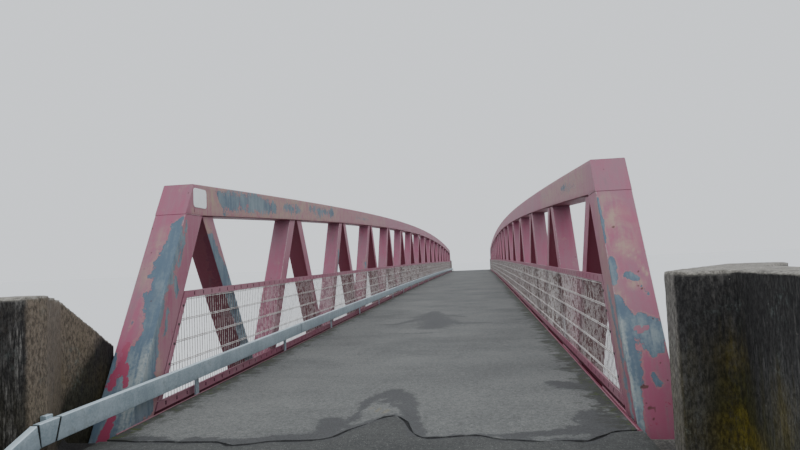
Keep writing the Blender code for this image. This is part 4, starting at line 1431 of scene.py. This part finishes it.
@dataclass
class Railing(SidePart):
    """Infill of one truss: slotted rails with welded wire grating between them."""

    rows: DeckRow
    rail_top: float = 0.615
    rail_face: float = 0.04
    strip_top: float = 0.045
    thickness: float = 0.0147
    slot_pitch: float = 0.125
    slot: Pair = (0.013, 0.022)
    bar_pitch: float = 0.034
    bar_radius: float = 0.0019
    sides: int = 6
    rods: int = 5
    first_rod: float = 0.052
    rod_radius: float = 0.0026
    rod_pitch: float = 0.118
    rod_gap: float = 0.0042
    post_gap: float = 0.01
    post_strip: float = 0.04
    strip_clearance: float = 0.002
    shortest_bar: float = 0.01
    bolts: int = 5
    first_bolt: float = 0.118
    bolt_pitch: float = 0.103
    bolt_radius: float = 0.0075
    bolt_height: float = 0.0045
    bolt_sunk: float = 0.001
    strip_step: float = 0.05
    strip_radius: float = 0.001
    toe_radius: float = 0.0005
    in_slot: Pair = (0.1, 0.9)
    toe_inset: float = 0.0045
    toe_depth: float = 0.022
    seat: float = 0.0003

    def build(self) -> None:
        """Make every piece of the railing."""
        self.build_slotted("slotted_mid_rail", self.rail_top - self.rail_face, self.rail_face, "mid_rail")
        self.build_slotted("slotted_lower_strip", 0.0, self.strip_top, "grating_frame")
        self.build_sloping_strips()
        self.build_strip_bolts()
        self.build_toe_plate()
        self.build_grating()

    def edge_y(self, height: float) -> float:
        """Y of the gap's far side beside the near end post, at a height above the deck."""
        return self.layout.post_inner_y(self.layout.deck + height) + self.post_gap

    def strip_run(self) -> float:
        """Length along the bridge of a level cut through a sloping strip."""
        return self.post_strip * math.hypot(1, self.layout.post_slope)

    def build_slotted(self, part: str, low: float, face: float, node: str) -> None:
        """Make a slotted bar along the deck, its ends cut to the slope of the end posts.

        Args:
            part: Name of the piece, without its side.
            low: Its underside above the deck.
            face: Its height.
            node: Node that it replaces, without its side.
        """
        lay = self.layout
        count = 2 * math.floor(-self.edge_y(low + face) / self.slot_pitch)
        shape = slotted_length(self.slot_pitch, face, self.slot, self.reach(lay.inner_x, self.thickness),
                               lay.deck + low, self.side)
        first = -count * self.slot_pitch / 2
        bar = self.rows.make(self.name(part), shape, count, first, self.slot_pitch, self.finishes.paint)
        for vertex in bar.data.vertices:
            if abs(vertex.co.y) > -first - WELD:
                edge = -self.edge_y(vertex.co.z - lay.deck - lay.camber(vertex.co.y, lay.deck_rise))
                vertex.co.y = math.copysign(edge, vertex.co.y)
        paint(bar, [], PAINT_MARKS)
        # Points inside the slots get the hollow mark, which the paint turns near black as painted shade.
        hollow = bar.data.attributes["hollow"].data
        for vertex in bar.data.vertices:
            depth = (abs(vertex.co.x) - lay.inner_x) / self.thickness
            hollow[vertex.index].value = float(self.in_slot[0] < depth < self.in_slot[1])
        hand_over(bar, "faded_pink_paint", self.name(node))

    def build_sloping_strips(self) -> None:
        """Make the sloping strips beside the end posts."""
        lay = self.layout
        slices = []
        for height in spread(self.strip_top + self.seat, self.rail_top - self.rail_face - self.seat,
                             self.strip_step):
            y, z = self.edge_y(height), lay.deck + height
            slices.append(((y, z), (y + self.strip_run(), z)))
        shapes = [box_member(mirrored(slices, -end.value), self.reach(lay.inner_x, self.thickness),
                             self.strip_radius, (2, 1)) for end in End]
        new_piece(self.name("sloping_strips"), joined(shapes), self.finishes.paint, "faded_pink_paint",
                  strokes=[])

    def build_toe_plate(self) -> None:
        """Make the near-black red plate that closes the gap between the deck and the lower strip: painted
        shade in that gap.
        """
        lay = self.layout
        half = -self.edge_y(0.0) + self.post_gap
        slices = []
        for y in (-half, *(k * lay.half_bay for k in range(1 - lay.bays, lay.bays)), half):
            level = lay.deck + lay.camber(y, lay.deck_rise)
            slices.append(((y, level - self.toe_depth), (y, level + self.seat)))
        reach = self.reach(lay.inner_x + self.toe_inset, self.toe_inset)
        new_piece(self.name("toe_plate"), box_member(slices, reach, self.toe_radius, (1, 1)),
                  self.finishes.shaded_paint, "deep_pink_paint")

    def build_strip_bolts(self) -> None:
        """Make the bolt heads on the sloping strips."""
        lay = self.layout
        sign = self.side.value
        shapes = []
        for end in End:
            for k in range(self.bolts):
                height = self.first_bolt + k * self.bolt_pitch
                place = (sign * lay.inner_x + sign * self.bolt_sunk,
                         -end.value * (self.edge_y(height) + self.strip_run() / 2), lay.deck + height)
                shapes.append(bolt_head(place, -sign, self.bolt_radius, self.bolt_height))
        new_piece(self.name("strip_bolts"), joined(shapes), self.finishes.steel, "bearing_steel")

    def build_grating(self) -> None:
        """Make the upright bars and the pairs of rods of the grating."""
        lay = self.layout
        low = self.strip_top + self.seat
        high = self.rail_top - self.rail_face - self.seat
        run = self.strip_run() + self.strip_clearance
        x = self.side.value * (lay.inner_x + self.thickness / 2)
        count = 2 * math.floor(-(self.edge_y(high) + run) / self.bar_pitch) + 1
        first = -(count - 1) / 2 * self.bar_pitch
        shape = prism(self.bar_radius, lay.deck + low, lay.deck + high, x, self.sides)
        bars = self.rows.make(self.name("grating_bars"), shape, count, first, self.bar_pitch,
                              self.finishes.wire)
        hand_over(bars, "weathered_grating", self.name("grating"))
        shapes = []
        y = first - self.bar_pitch
        while y > self.edge_y(low) + run:
            reachable = (y - run - self.post_gap + lay.half_span) / lay.post_slope + lay.chord_low - lay.deck
            top = min(high, reachable)
            if top - low > self.shortest_bar:
                lift = lay.deck + lay.camber(y, lay.deck_rise)
                points, faces = prism(self.bar_radius, lift + low, lift + top, x, self.sides)
                shapes += [([p + Vector((0, -end.value * y, 0)) for p in points], faces) for end in End]
            y -= self.bar_pitch
        offset = self.bar_radius + self.rod_radius
        for level in (low + self.first_rod + k * self.rod_pitch for k in range(self.rods)):
            stop = -(self.edge_y(level) + run)
            stations = [-stop] + [k * lay.half_bay for k in range(-lay.bays, lay.bays + 1)] + [stop]
            for shift in (-self.rod_gap, self.rod_gap):
                shapes.append(self.rod(x - self.side.value * offset, stations, level + shift))
        new_piece(self.name("grating_rods"), joined(shapes), self.finishes.wire, "weathered_grating")

    def rod(self, x: float, stations: Sequence[float], level: float) -> Shape:
        """One long rod that follows the deck.

        Args:
            x: Its X.
            stations: Y of its bends.
            level: Its height above the deck.

        Returns:
            Its points and faces.
        """
        lay = self.layout
        return loft([[Vector((x + c, y, lay.deck + level + lay.camber(y, lay.deck_rise) + s))
                      for c, s in circle(self.rod_radius, self.sides)] for y in stations])


def bolt_head(place: Triple, direction: int, radius: float, height: float) -> Shape:
    """Six-sided bolt head that stands out along X, with a chamfered rim.

    Args:
        place: Centre of its foot.
        direction: Sign of X that it points in.
        radius: Radius over its corners.
        height: How far it stands out.

    Returns:
        The points and faces.
    """
    return loft([[Vector((place[0] + direction * height * out, place[1] + c, place[2] + s))
                  for c, s in circle(radius * scale, 6)]
                 for out, scale in ((0.0, 1.0), (0.75, 1.0), (1.0, 0.8))])


# Dark patches round the cracks: strength, then points (x, y, radius).
DAMP_PATCHES: tuple[tuple, ...] = (
    (0.9, (0.02, -17.0, 0.06), (0.09, -17.12, 0.065), (0.15, -17.3, 0.055), (0.17, -17.5, 0.05),
     (0.21, -17.72, 0.045), (0.25, -17.86, 0.04)),
    (0.82, (0.02, -17.0, 0.06), (-0.06, -17.14, 0.05), (-0.09, -17.3, 0.045), (-0.08, -17.5, 0.035),
     (-0.08, -17.62, 0.03)), (0.85, (0.03, -17.12, 0.07), (0.07, -17.26, 0.06)),
    (0.75, (0.0, -17.24, 0.07), (0.08, -17.36, 0.07)), (-0.7, (-0.05, -17.4, 0.03), (0.04, -17.46, 0.035)),
    (0.95, (-0.2, -17.62, 0.06), (-0.17, -17.68, 0.09), (-0.16, -17.8, 0.07)),
    (0.9, (-0.64, -17.95, 0.05), (-0.5, -17.97, 0.06), (-0.38, -17.9, 0.05), (-0.2, -17.88, 0.05)),
    (0.85, (-0.74, -17.92, 0.045), (-0.6, -17.95, 0.05)),
    (0.95, (0.92, -16.86, 0.06), (1.02, -16.93, 0.12), (1.13, -17.0, 0.11)),
    (0.95, (1.0, -17.56, 0.08), (1.04, -17.7, 0.14), (1.06, -17.88, 0.12)),
    (0.9, (0.56, -17.92, 0.035), (0.75, -17.88, 0.05), (0.93, -17.82, 0.08)),
    (0.8, (1.04, -16.44, 0.03), (1.05, -16.52, 0.03)), (0.8, (1.1, -16.62, 0.04), (1.12, -16.8, 0.04)),
    (0.75, (1.05, -15.96, 0.03), (1.08, -16.06, 0.04)), (0.8, (1.11, -16.3, 0.035), (1.1, -16.38, 0.03)),
    (0.8, (1.12, -17.18, 0.03), (1.1, -17.4, 0.04)), (0.75, (1.13, -14.7, 0.05), (1.14, -15.1, 0.05)),
    (0.85, (-1.05, -17.9, 0.06), (-0.75, -17.95, 0.03)),
    (0.85, (-0.1, -12.0, 0.1), (-0.1, -12.7, 0.26), (0.05, -13.3, 0.28), (0.0, -13.9, 0.2)),
    (0.95, (-0.62, -13.45, 0.04), (-0.45, -13.5, 0.06), (-0.22, -12.95, 0.08), (-0.1, -12.6, 0.06)),
    (0.95, (0.12, -13.3, 0.07), (0.3, -13.55, 0.08), (0.62, -13.55, 0.05)),
    (0.85, (-0.1, -12.75, 0.06), (0.15, -12.55, 0.07), (0.35, -12.85, 0.05)),
    (0.75, (-0.5, -14.3, 0.03), (-0.1, -14.35, 0.07), (0.2, -14.3, 0.03)),
    (0.7, (0.75, -13.5, 0.03), (1.0, -13.3, 0.07), (1.15, -13.2, 0.1)),
    (0.75, (-0.3, -10.2, 0.06), (0.3, -10.1, 0.1), (0.9, -10.4, 0.06)),
    (0.75, (-0.5, -8.6, 0.05), (0.4, -8.4, 0.12), (1.0, -8.6, 0.05)))


@dataclass
class Deck:
    """Path between the trusses with its asphalt, and what carries it."""

    layout: Layout
    finishes: Finishes
    half_width: float = 1.155
    asphalt_thickness: float = 0.0225
    far_end: float = 17.8422
    approach_end: float = 19.4
    approach_half_width: float = 1.3597
    block_y: float = 18.4003
    neck_half_width: float = 1.1747
    crack_gap: float = 0.016
    cell: float = 0.045
    rows_by_crack: int = 32
    fine_until: float = -16.4
    middling_until: float = -8.0
    middling: float = 0.06
    coarse: float = 0.6
    neck_rows: int = 12
    far_joint: float = 0.0203
    worn: float = 0.0012
    hollow: float = 0.0012
    joint_worn: float = 0.0008
    joint_reach: float = 1.5
    fine_crack: float = 0.012
    sharp_angle: float = 60.0
    filler_top: float = 0.014
    filler_foot: float = 0.0222
    filler_half_width: float = 0.045
    filler_inset: float = 0.002
    crack: tuple[Pair, ...] = (
        (-1.155, -17.93), (-0.95, -17.955), (-0.74, -17.965), (-0.618, -17.962), (-0.54, -18.02),
        (-0.488, -18.005), (-0.359, -17.956), (-0.202, -17.951), (-0.125, -17.911),
        (-0.078, -17.787), (-0.005, -17.692), (0.043, -17.583), (0.107, -17.553), (0.176, -17.677),
        (0.215, -17.865), (0.275, -17.93), (0.485, -17.894), (0.611, -17.96), (0.741, -17.985),
        (0.842, -17.978), (0.93, -17.995), (0.992, -17.93), (1.062, -17.85), (1.155, -17.84))
    fine_cracks: tuple[tuple[Pair, ...], ...] = (
        ((-0.5, -13.5), (-0.22, -12.95), (0.1, -12.7), (0.34, -12.85)),
        ((-0.3, -13.1), (0.05, -13.3), (0.3, -13.56), (0.6, -13.6)))

    def build(self) -> None:
        """Make the surface and dress the steel below it."""
        self.build_surface()
        self.build_filler()
        self.build_approach(End.NEAR)
        self.build_approach(End.FAR)
        dress(self.finishes.low_paint, "deck_plate", "deck_grillage")
        dress(self.finishes.paint, "left_deck_edge_strip", "right_deck_edge_strip")

    def crack_y(self, x: float) -> float:
        """Y of the wandering crack over the joint at the near abutment.

        Args:
            x: Place across the path.

        Returns:
            Its Y.
        """
        points = self.crack
        x = max(points[0][0], min(points[-1][0], x))
        for (x0, y0), (x1, y1) in zip(points, points[1:]):
            if x <= x1:
                share = (x - x0) / (x1 - x0)
                smooth = share * share * (3 - 2 * share)
                wobble = noise.noise(Vector((x * 26, 3.1, 0.4))) * 0.006
                return y0 + (y1 - y0) * smooth + wobble
        return points[-1][1]

    def gap(self, x: float) -> float:
        """Half width of the crack."""
        closed = 0.15 if 0.74 < x < 0.86 else 1.0
        return self.crack_gap * closed * (0.75 + 0.3 * noise.noise(Vector((x * 6, 8.3, 1.7))))

    def level(self, y: float) -> float:
        """Height of the even surface."""
        within = max(-self.far_end, min(self.far_end, y))
        return self.layout.deck + self.layout.camber(within, self.layout.deck_rise)

    def roughened(self, x: float, y: float) -> float:
        """Height of the surface with its slight hollows.

        Args:
            x: Place across the path.
            y: Place along it.

        Returns:
            The height.
        """
        near = max(0.0, 1 - abs(abs(y) - self.far_end) / self.joint_reach)
        rough = self.hollow * noise.noise(Vector((x * 4, y * 4, 0)))
        return self.level(y) - self.worn - rough - self.joint_worn * near

    def sheet(self, name: str, columns: Sequence[float], rows: Callable[[float], list[float]],
              material: Material, strokes: Sequence[Stroke], *nodes: str) -> None:
        """Make a closed slab of asphalt from columns of points.

        Args:
            name: Name of the piece.
            columns: X of each column.
            rows: Gives the Y values of a column.
            material: Finish.
            strokes: Its marks.
            nodes: Nodes that it replaces.
        """
        places = [(x, y) for x in columns for y in rows(x)]
        points = [Vector((x, y, self.roughened(x, y))) for x, y in places]
        points += [Vector((x, y, self.level(y) - self.asphalt_thickness)) for x, y in places]
        top = len(places)
        count = top // len(columns)
        faces = []
        for i in range(len(columns) - 1):
            for j in range(count - 1):
                a, b = i * count + j, (i + 1) * count + j
                faces += [[a, b, b + 1, a + 1], [top + a, top + a + 1, top + b + 1, top + b]]
        rim = [i * count for i in range(len(columns))]
        rim += [(len(columns) - 1) * count + j for j in range(1, count)]
        rim += [i * count + count - 1 for i in range(len(columns) - 2, -1, -1)]
        rim += list(range(count - 2, 0, -1))
        faces += [[a, top + a, top + b, b] for a, b in zip(rim, rim[1:] + rim[:1])]
        new_piece(name, (points, faces), material, "asphalt", *nodes, strokes=strokes,
                  marks=DAMP_MARKS, sharp_angle=self.sharp_angle)

    def build_surface(self) -> None:
        """Make the deck's asphalt from the crack to the far joint, and its damp patches."""
        def rows(x: float) -> list[float]:
            """Y values of a column, close together near the crack.

            Args:
                x: X of the column.

            Returns:
                The Y values, from the crack on.
            """
            start = self.crack_y(x) + self.gap(x)
            count = self.rows_by_crack
            return ([start + (self.fine_until - start) * k / count for k in range(count + 1)]
                    + spread(self.fine_until, self.middling_until, self.middling)[1:]
                    + spread(self.middling_until, self.far_end, self.coarse)[1:])

        z = self.layout.deck
        strokes = [Stroke("damp", tuple((x, y, z, r) for x, y, r in places), strength)
                   for strength, *places in DAMP_PATCHES]
        strokes.append(self.damp_crack(0.02, 0.028, 0.85))
        strokes += [Stroke("crack", tuple((x, y, z, self.fine_crack) for x, y in line))
                    for line in self.fine_cracks]
        self.sheet("deck_surface", spread(-self.half_width, self.half_width, self.cell), rows,
                   self.finishes.asphalt, strokes, "deck_asphalt")

    def damp_crack(self, shift: float, radius: float, strength: float) -> Stroke:
        """Dark line beside the wandering crack, moved along Y."""
        z = self.layout.deck
        return Stroke("damp", tuple((x, y + shift, z, radius) for x, y in self.crack), strength)

    def build_filler(self) -> None:
        """Make the near-black strip at the bottom of the crack: dirt and painted shade in the crack."""
        reach = self.half_width - self.filler_inset
        section = ((-1, self.filler_top), (1, self.filler_top), (1, self.filler_foot), (-1, self.filler_foot))
        rings = [[Vector((x, self.crack_y(x) + side * self.filler_half_width, self.layout.deck - depth))
                  for side, depth in section] for x in spread(-reach, reach, self.cell)]
        new_piece("crack_filler", loft(rings), self.finishes.filler, "asphalt")

    def build_approach(self, end: End) -> None:
        """Make the asphalt between the walls of one end.

        Args:
            end: Near or far.
        """
        near = end is End.NEAR
        block_y, start = end.value * self.block_y, self.far_end + self.far_joint

        def neck(x: float) -> list[float]:
            """Y values of a column beside the end blocks."""
            joint = self.crack_y(x) - self.gap(x) if near else start
            return [joint + (block_y - joint) * k / self.neck_rows for k in range(self.neck_rows + 1)]

        def yard(x: float) -> list[float]:
            """Y values of a column between the approach walls."""
            return spread(block_y, end.value * self.approach_end, self.cell)

        label = end.name.lower()
        finish = self.finishes.approach_asphalt
        neck_x, yard_x = (spread(-width, width, self.cell)
                          for width in (self.neck_half_width, self.approach_half_width))
        self.sheet(f"{label}_neck_surface", neck_x, neck, finish,
                   [self.damp_crack(-0.02, 0.03, 0.75)] if near else [], f"{label}_approach_asphalt")
        self.sheet(f"{label}_approach_surface", yard_x, yard, finish, [])


@dataclass
class GuardRail:
    """Galvanised guard rail of the left side, in lengths, with ramped ends and brackets."""

    layout: Layout
    finishes: Finishes
    rows: DeckRow
    top: float = 0.1925
    face: float = 0.09
    inner_x: float = 1.12
    thickness: float = 0.03
    first_joint: float = 18.265
    joint: float = 0.014
    joint_lean: float = 0.03
    bend: float = 18.4
    open_mitre: float = 0.007
    wall_bracket: float = 18.3
    ramp: float = 0.36
    lengths: int = 11
    bracket_pitch: float = 1.7
    brackets: int = 21
    bracket_width: float = 0.04
    post_x: float = 1.1606
    post_thickness: float = 0.01
    post_proud: float = -0.006
    lug_proud: float = 0.012
    sleeve_inset: float = 0.0025
    sleeve_hold: float = 0.006
    spacer: float = 0.06
    foot: float = 0.0222
    spacer_half_width: float = 0.015
    step: float = 0.35
    edge_radius: float = 0.004
    plate_radius: float = 0.002
    sleeve_radius: float = 0.0005
    seat: float = 0.0003
    plate_drop: float = 0.06
    wall_x: float = 1.1747

    def level(self, y: float) -> float:
        """Height of the rail's top."""
        return self.layout.deck + self.top + self.layout.camber(y, self.layout.deck_rise)

    def mitre(self) -> float:
        """Way from the bend back to where the mitre starts at the rail's underside."""
        return self.face * math.tan(math.atan(self.ramp) / 2)

    def build(self) -> None:
        """Make the rail, its ends and its brackets."""
        self.build_lengths()
        for end in End:
            self.build_ramp(end)
        self.build_sleeves()
        self.build_brackets()

    def build_lengths(self) -> None:
        """Make the rail's lengths with an open joint between two."""
        reach = reach_of(Side.LEFT, self.inner_x, self.inner_x + self.thickness)
        each = 2 * self.first_joint / self.lengths
        last = self.lengths - 1
        shapes = []
        for k in range(self.lengths):
            start = -self.first_joint + k * each + (self.joint / 2 if k else 0)
            stop = -self.first_joint + (k + 1) * each - (self.joint / 2 if k < last else 0)
            slices = [((y, self.level(y) - self.face), (y, self.level(y)))
                      for y in spread(start, stop, self.step)]
            if k == 0:
                slices[0] = ((start - self.joint_lean, slices[0][0][1]), slices[0][1])
            if k == last:
                slices[-1] = ((stop + self.joint_lean, slices[-1][0][1]), slices[-1][1])
            shapes.append(box_member(slices, reach, self.edge_radius, (3, 2)))
        new_piece("guard_rail_lengths", joined(shapes), self.finishes.galvanised, "galvanised_steel",
                  "guard_rail")

    def build_ramp(self, end: End) -> None:
        """Make one ramped end with its mitre and wall bracket.

        Args:
            end: Near or far.
        """
        reach = reach_of(Side.LEFT, self.inner_x, self.inner_x + self.thickness)
        first = self.first_joint + self.joint
        top = self.level(self.bend)
        ground = top - self.top + self.seat
        heel = self.bend - self.mitre()
        half = self.open_mitre / 2
        drop = self.open_mitre * self.ramp
        level_part = [((first + self.joint_lean, self.level(first) - self.face), (first, self.level(first))),
                      ((heel - half, top - self.face), (self.bend - self.open_mitre, top))]
        ramp_part = [((heel + half, top - self.face - drop / 2), (self.bend + self.open_mitre, top - drop)),
                     ((heel + (top - self.face - ground) / self.ramp, ground),
                      (self.bend + (top - ground) / self.ramp, ground))]
        foot = self.level(self.wall_bracket) - self.plate_drop
        head = self.level(self.wall_bracket) + self.lug_proud
        plate = [((y, foot), (y, head)) for y in (self.wall_bracket - self.bracket_width / 2,
                                                  self.wall_bracket + self.bracket_width / 2)]
        outer = reach_of(Side.LEFT, self.inner_x + self.thickness, self.wall_x)
        shapes = [box_member(mirrored(part, end.value), *rest)
                  for part, *rest in ((level_part, reach, self.edge_radius, (3, 2)),
                                      (ramp_part, reach, self.edge_radius, (3, 2)),
                                      (plate, outer, self.plate_radius, (2, 2)))]
        label = end.name.lower()
        new_piece(f"guard_rail_{label}_ramp", joined(shapes), self.finishes.galvanised, "galvanised_steel",
                  f"guard_rail_{label}_end")

    def build_sleeves(self) -> None:
        """Make the sleeves that show in the open joints and mitres, near black as painted shade in the gaps.
        """
        inset = self.sleeve_inset
        reach = reach_of(Side.LEFT, self.inner_x + inset, self.inner_x + self.thickness - inset)
        each = 2 * self.first_joint / self.lengths
        half = self.joint / 2 + self.sleeve_hold
        spans = [(-self.first_joint + k * each - half, -self.first_joint + k * each + half)
                 for k in range(1, self.lengths)]
        joint_end = self.first_joint + self.joint + self.joint_lean + self.sleeve_hold
        for end in End:
            for low, high in ((self.first_joint - self.sleeve_hold, joint_end),
                              (self.bend - self.mitre() - self.sleeve_hold, self.bend + self.open_mitre)):
                spans.append(tuple(sorted((end.value * low, end.value * high))))
        shapes = [box_member([((y, self.level(y) - self.face + inset),
                               (y, self.level(y) - inset - self.ramp * max(0.0, abs(y) - self.bend)))
                              for y in span], reach, self.sleeve_radius, (1, 1)) for span in spans]
        new_piece("guard_rail_sleeves", joined(shapes), self.finishes.filler, "galvanised_steel")

    def build_brackets(self) -> None:
        """Make the brackets: an upright flat with a rounded head, and a spacer to the rail."""
        half = self.bracket_width / 2
        low = self.layout.deck - self.foot
        high = self.layout.deck + self.top + self.post_proud
        outline = [(-half, low), (half, low)]
        outline += [(half * math.cos(a), high - half + half * math.sin(a))
                    for a in (k * math.pi / 10 for k in range(11))]
        flat = loft([[Vector((x, y, z)) for y, z in outline]
                     for x in (-self.post_x, -self.post_x - self.post_thickness)])
        middle = self.layout.deck + self.top - self.face / 2
        spacer = box_member([((y, middle - self.spacer / 2), (y, middle + self.spacer / 2))
                             for y in (-self.spacer_half_width, self.spacer_half_width)],
                            (-self.post_x, -self.inner_x - self.thickness), self.plate_radius, (1, 1))
        first = -(self.brackets - 1) / 2 * self.bracket_pitch
        piece = self.rows.make("guard_rail_brackets", joined([flat, spacer]), self.brackets, first,
                               self.bracket_pitch, self.finishes.galvanised)
        hand_over(piece, "galvanised_steel")


@dataclass
class Abutment:
    """Walls and abutment of one end, cast in concrete whose edges have worn round."""

    end: End
    layout: Layout
    finishes: Finishes
    block_end: float = 18.265
    overlap: float = 0.03
    grain: float = 0.016
    worn: float = 0.0016
    hollow: float = 0.003

    def build(self) -> None:
        """Make the walls and dress the abutment and the bearings."""
        label = self.end.name.lower()
        for side in Side:
            name = f"{label}_{side.name.lower()}"
            self.build_wall(side, name)
            dress(self.finishes.steel, f"{name}_bearing")
        dress(self.finishes.low_concrete, f"{label}_abutment")

    def build_wall(self, side: Side, name: str) -> None:
        """Make one wall and its tail as one casting.

        Args:
            side: Left or right.
            name: Start of the names of its nodes.
        """
        nodes = (f"{name}_wall", f"{name}_wall_tail")
        work = bmesh.new()
        for node in nodes:
            before = set(work.verts)
            work.from_mesh(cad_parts[node].data)
            for vertex in set(work.verts) - before:
                if node.endswith("tail") and abs(vertex.co.y) > self.block_end:
                    vertex.co.y += self.end.value * self.overlap
        bmesh.ops.remove_doubles(work, verts=work.verts, dist=WELD)
        bmesh.ops.recalc_face_normals(work, faces=work.faces)
        mesh = bpy.data.meshes.new(f"{name}_casting")
        work.to_mesh(mesh)
        work.free()
        carrier = placed(f"{name}_casting", mesh)
        remesh = carrier.modifiers.new("grain", "REMESH")
        remesh.mode = "VOXEL"
        remesh.voxel_size = self.grain if self.end is End.NEAR else 2 * self.grain
        grown = applied(carrier)
        normals = [v.normal.copy() for v in grown.vertices]
        for vertex, normal in zip(grown.vertices, normals):
            rough = 0.5 + noise.fractal(vertex.co * 9, 0.8, 2.0, 4) * 0.5
            vertex.co -= normal * (self.worn + self.hollow * max(0.0, min(1.0, rough)))
            vertex.co.z = max(vertex.co.z, 0.0)
        grown.shade_smooth()
        grown.materials.clear()
        brown = side is Side.LEFT
        grown.materials.append(self.finishes.brown_concrete if brown else self.finishes.mossy_concrete)
        hand_over(placed(f"{name}_cast_wall", grown), "stained_concrete", *nodes)


@dataclass
class Studio:
    """Pale floor, soft light and the camera of the photograph."""

    camera_place: Triple = (0.540, -20.566, 2.7325)
    focal: float = 622.0
    picture_width: float = 800.0
    sensor: float = 36.0
    yaw: float = 0.12428
    pitch: float = 0.0586
    roll: float = -0.04314
    clip_end: float = 1000.0
    floor_half: float = 400.0
    sky: Triple = (0.86, 0.90, 0.95)
    sky_strength: float = 1.15
    sun: float = 1.1
    sun_spread: float = 70.0
    sun_turn: Pair = (18.0, 8.0)

    def build(self) -> None:
        """Make them all."""
        self.build_floor()
        self.build_light()
        self.build_camera()

    def build_floor(self) -> None:
        """Make the floor that the abutments stand on."""
        mesh = bpy.data.meshes.new("floor")
        size = self.floor_half
        mesh.from_pydata([(-size, -size, 0), (size, -size, 0), (size, size, 0), (-size, size, 0)], [],
                         [(0, 1, 2, 3)])
        tree = MaterialTree("pale_floor")
        mesh.materials.append(tree.finish((0.72, 0.73, 0.74), 0.9))
        floor = placed("floor", mesh)

    def build_light(self) -> None:
        """Make an even pale sky and one broad soft light."""
        world = bpy.data.worlds.new("studio")
        world.use_nodes = True
        background = world.node_tree.nodes["Background"]
        background.inputs["Color"].default_value = (*self.sky, 1.0)
        background.inputs["Strength"].default_value = self.sky_strength
        bpy.context.scene.world = world
        lamp = bpy.data.lights.new("soft_light", "SUN")
        lamp.energy = self.sun
        lamp.angle = math.radians(self.sun_spread)
        light = placed("soft_light", lamp)
        light.rotation_euler = (*(math.radians(turn) for turn in self.sun_turn), 0)

    def build_camera(self) -> None:
        """Make the camera where the photograph was taken from."""
        data = bpy.data.cameras.new("camera")
        data.sensor_width = self.sensor
        data.lens = self.focal * self.sensor / self.picture_width
        data.clip_end = self.clip_end
        forward = Vector((0, math.cos(self.pitch), math.sin(self.pitch)))
        right = Vector((1, 0, 0))
        up = Vector((0, -math.sin(self.pitch), math.cos(self.pitch)))
        tilted_right = right * math.cos(self.roll) + up * math.sin(self.roll)
        tilted_up = up * math.cos(self.roll) - right * math.sin(self.roll)
        turn = Matrix.Rotation(self.yaw, 3, "Z")
        columns = [turn @ tilted_right, turn @ tilted_up, turn @ -forward]
        camera = placed("camera", data)
        camera.matrix_world = (Matrix.Translation(self.camera_place)
                               @ Matrix(columns).transposed().to_4x4())
        bpy.context.scene.camera = camera


def main() -> None:
    """Build the looks of the whole bridge."""
    logging.basicConfig(level=logging.INFO, format="%(name)s %(message)s")
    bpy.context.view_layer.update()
    finishes = Finishes.make()
    rows = DeckRow(LAYOUT)
    Studio().build()
    for side in Side:
        Truss(side, LAYOUT, finishes).build()
        Railing(side, LAYOUT, finishes, rows).build()
    Deck(LAYOUT, finishes).build()
    GuardRail(LAYOUT, finishes, rows).build()
    for end in End:
        Abutment(end, LAYOUT, finishes).build()
    dress(finishes.plate, "blank_plate")


if __name__ == "__main__":
    main()
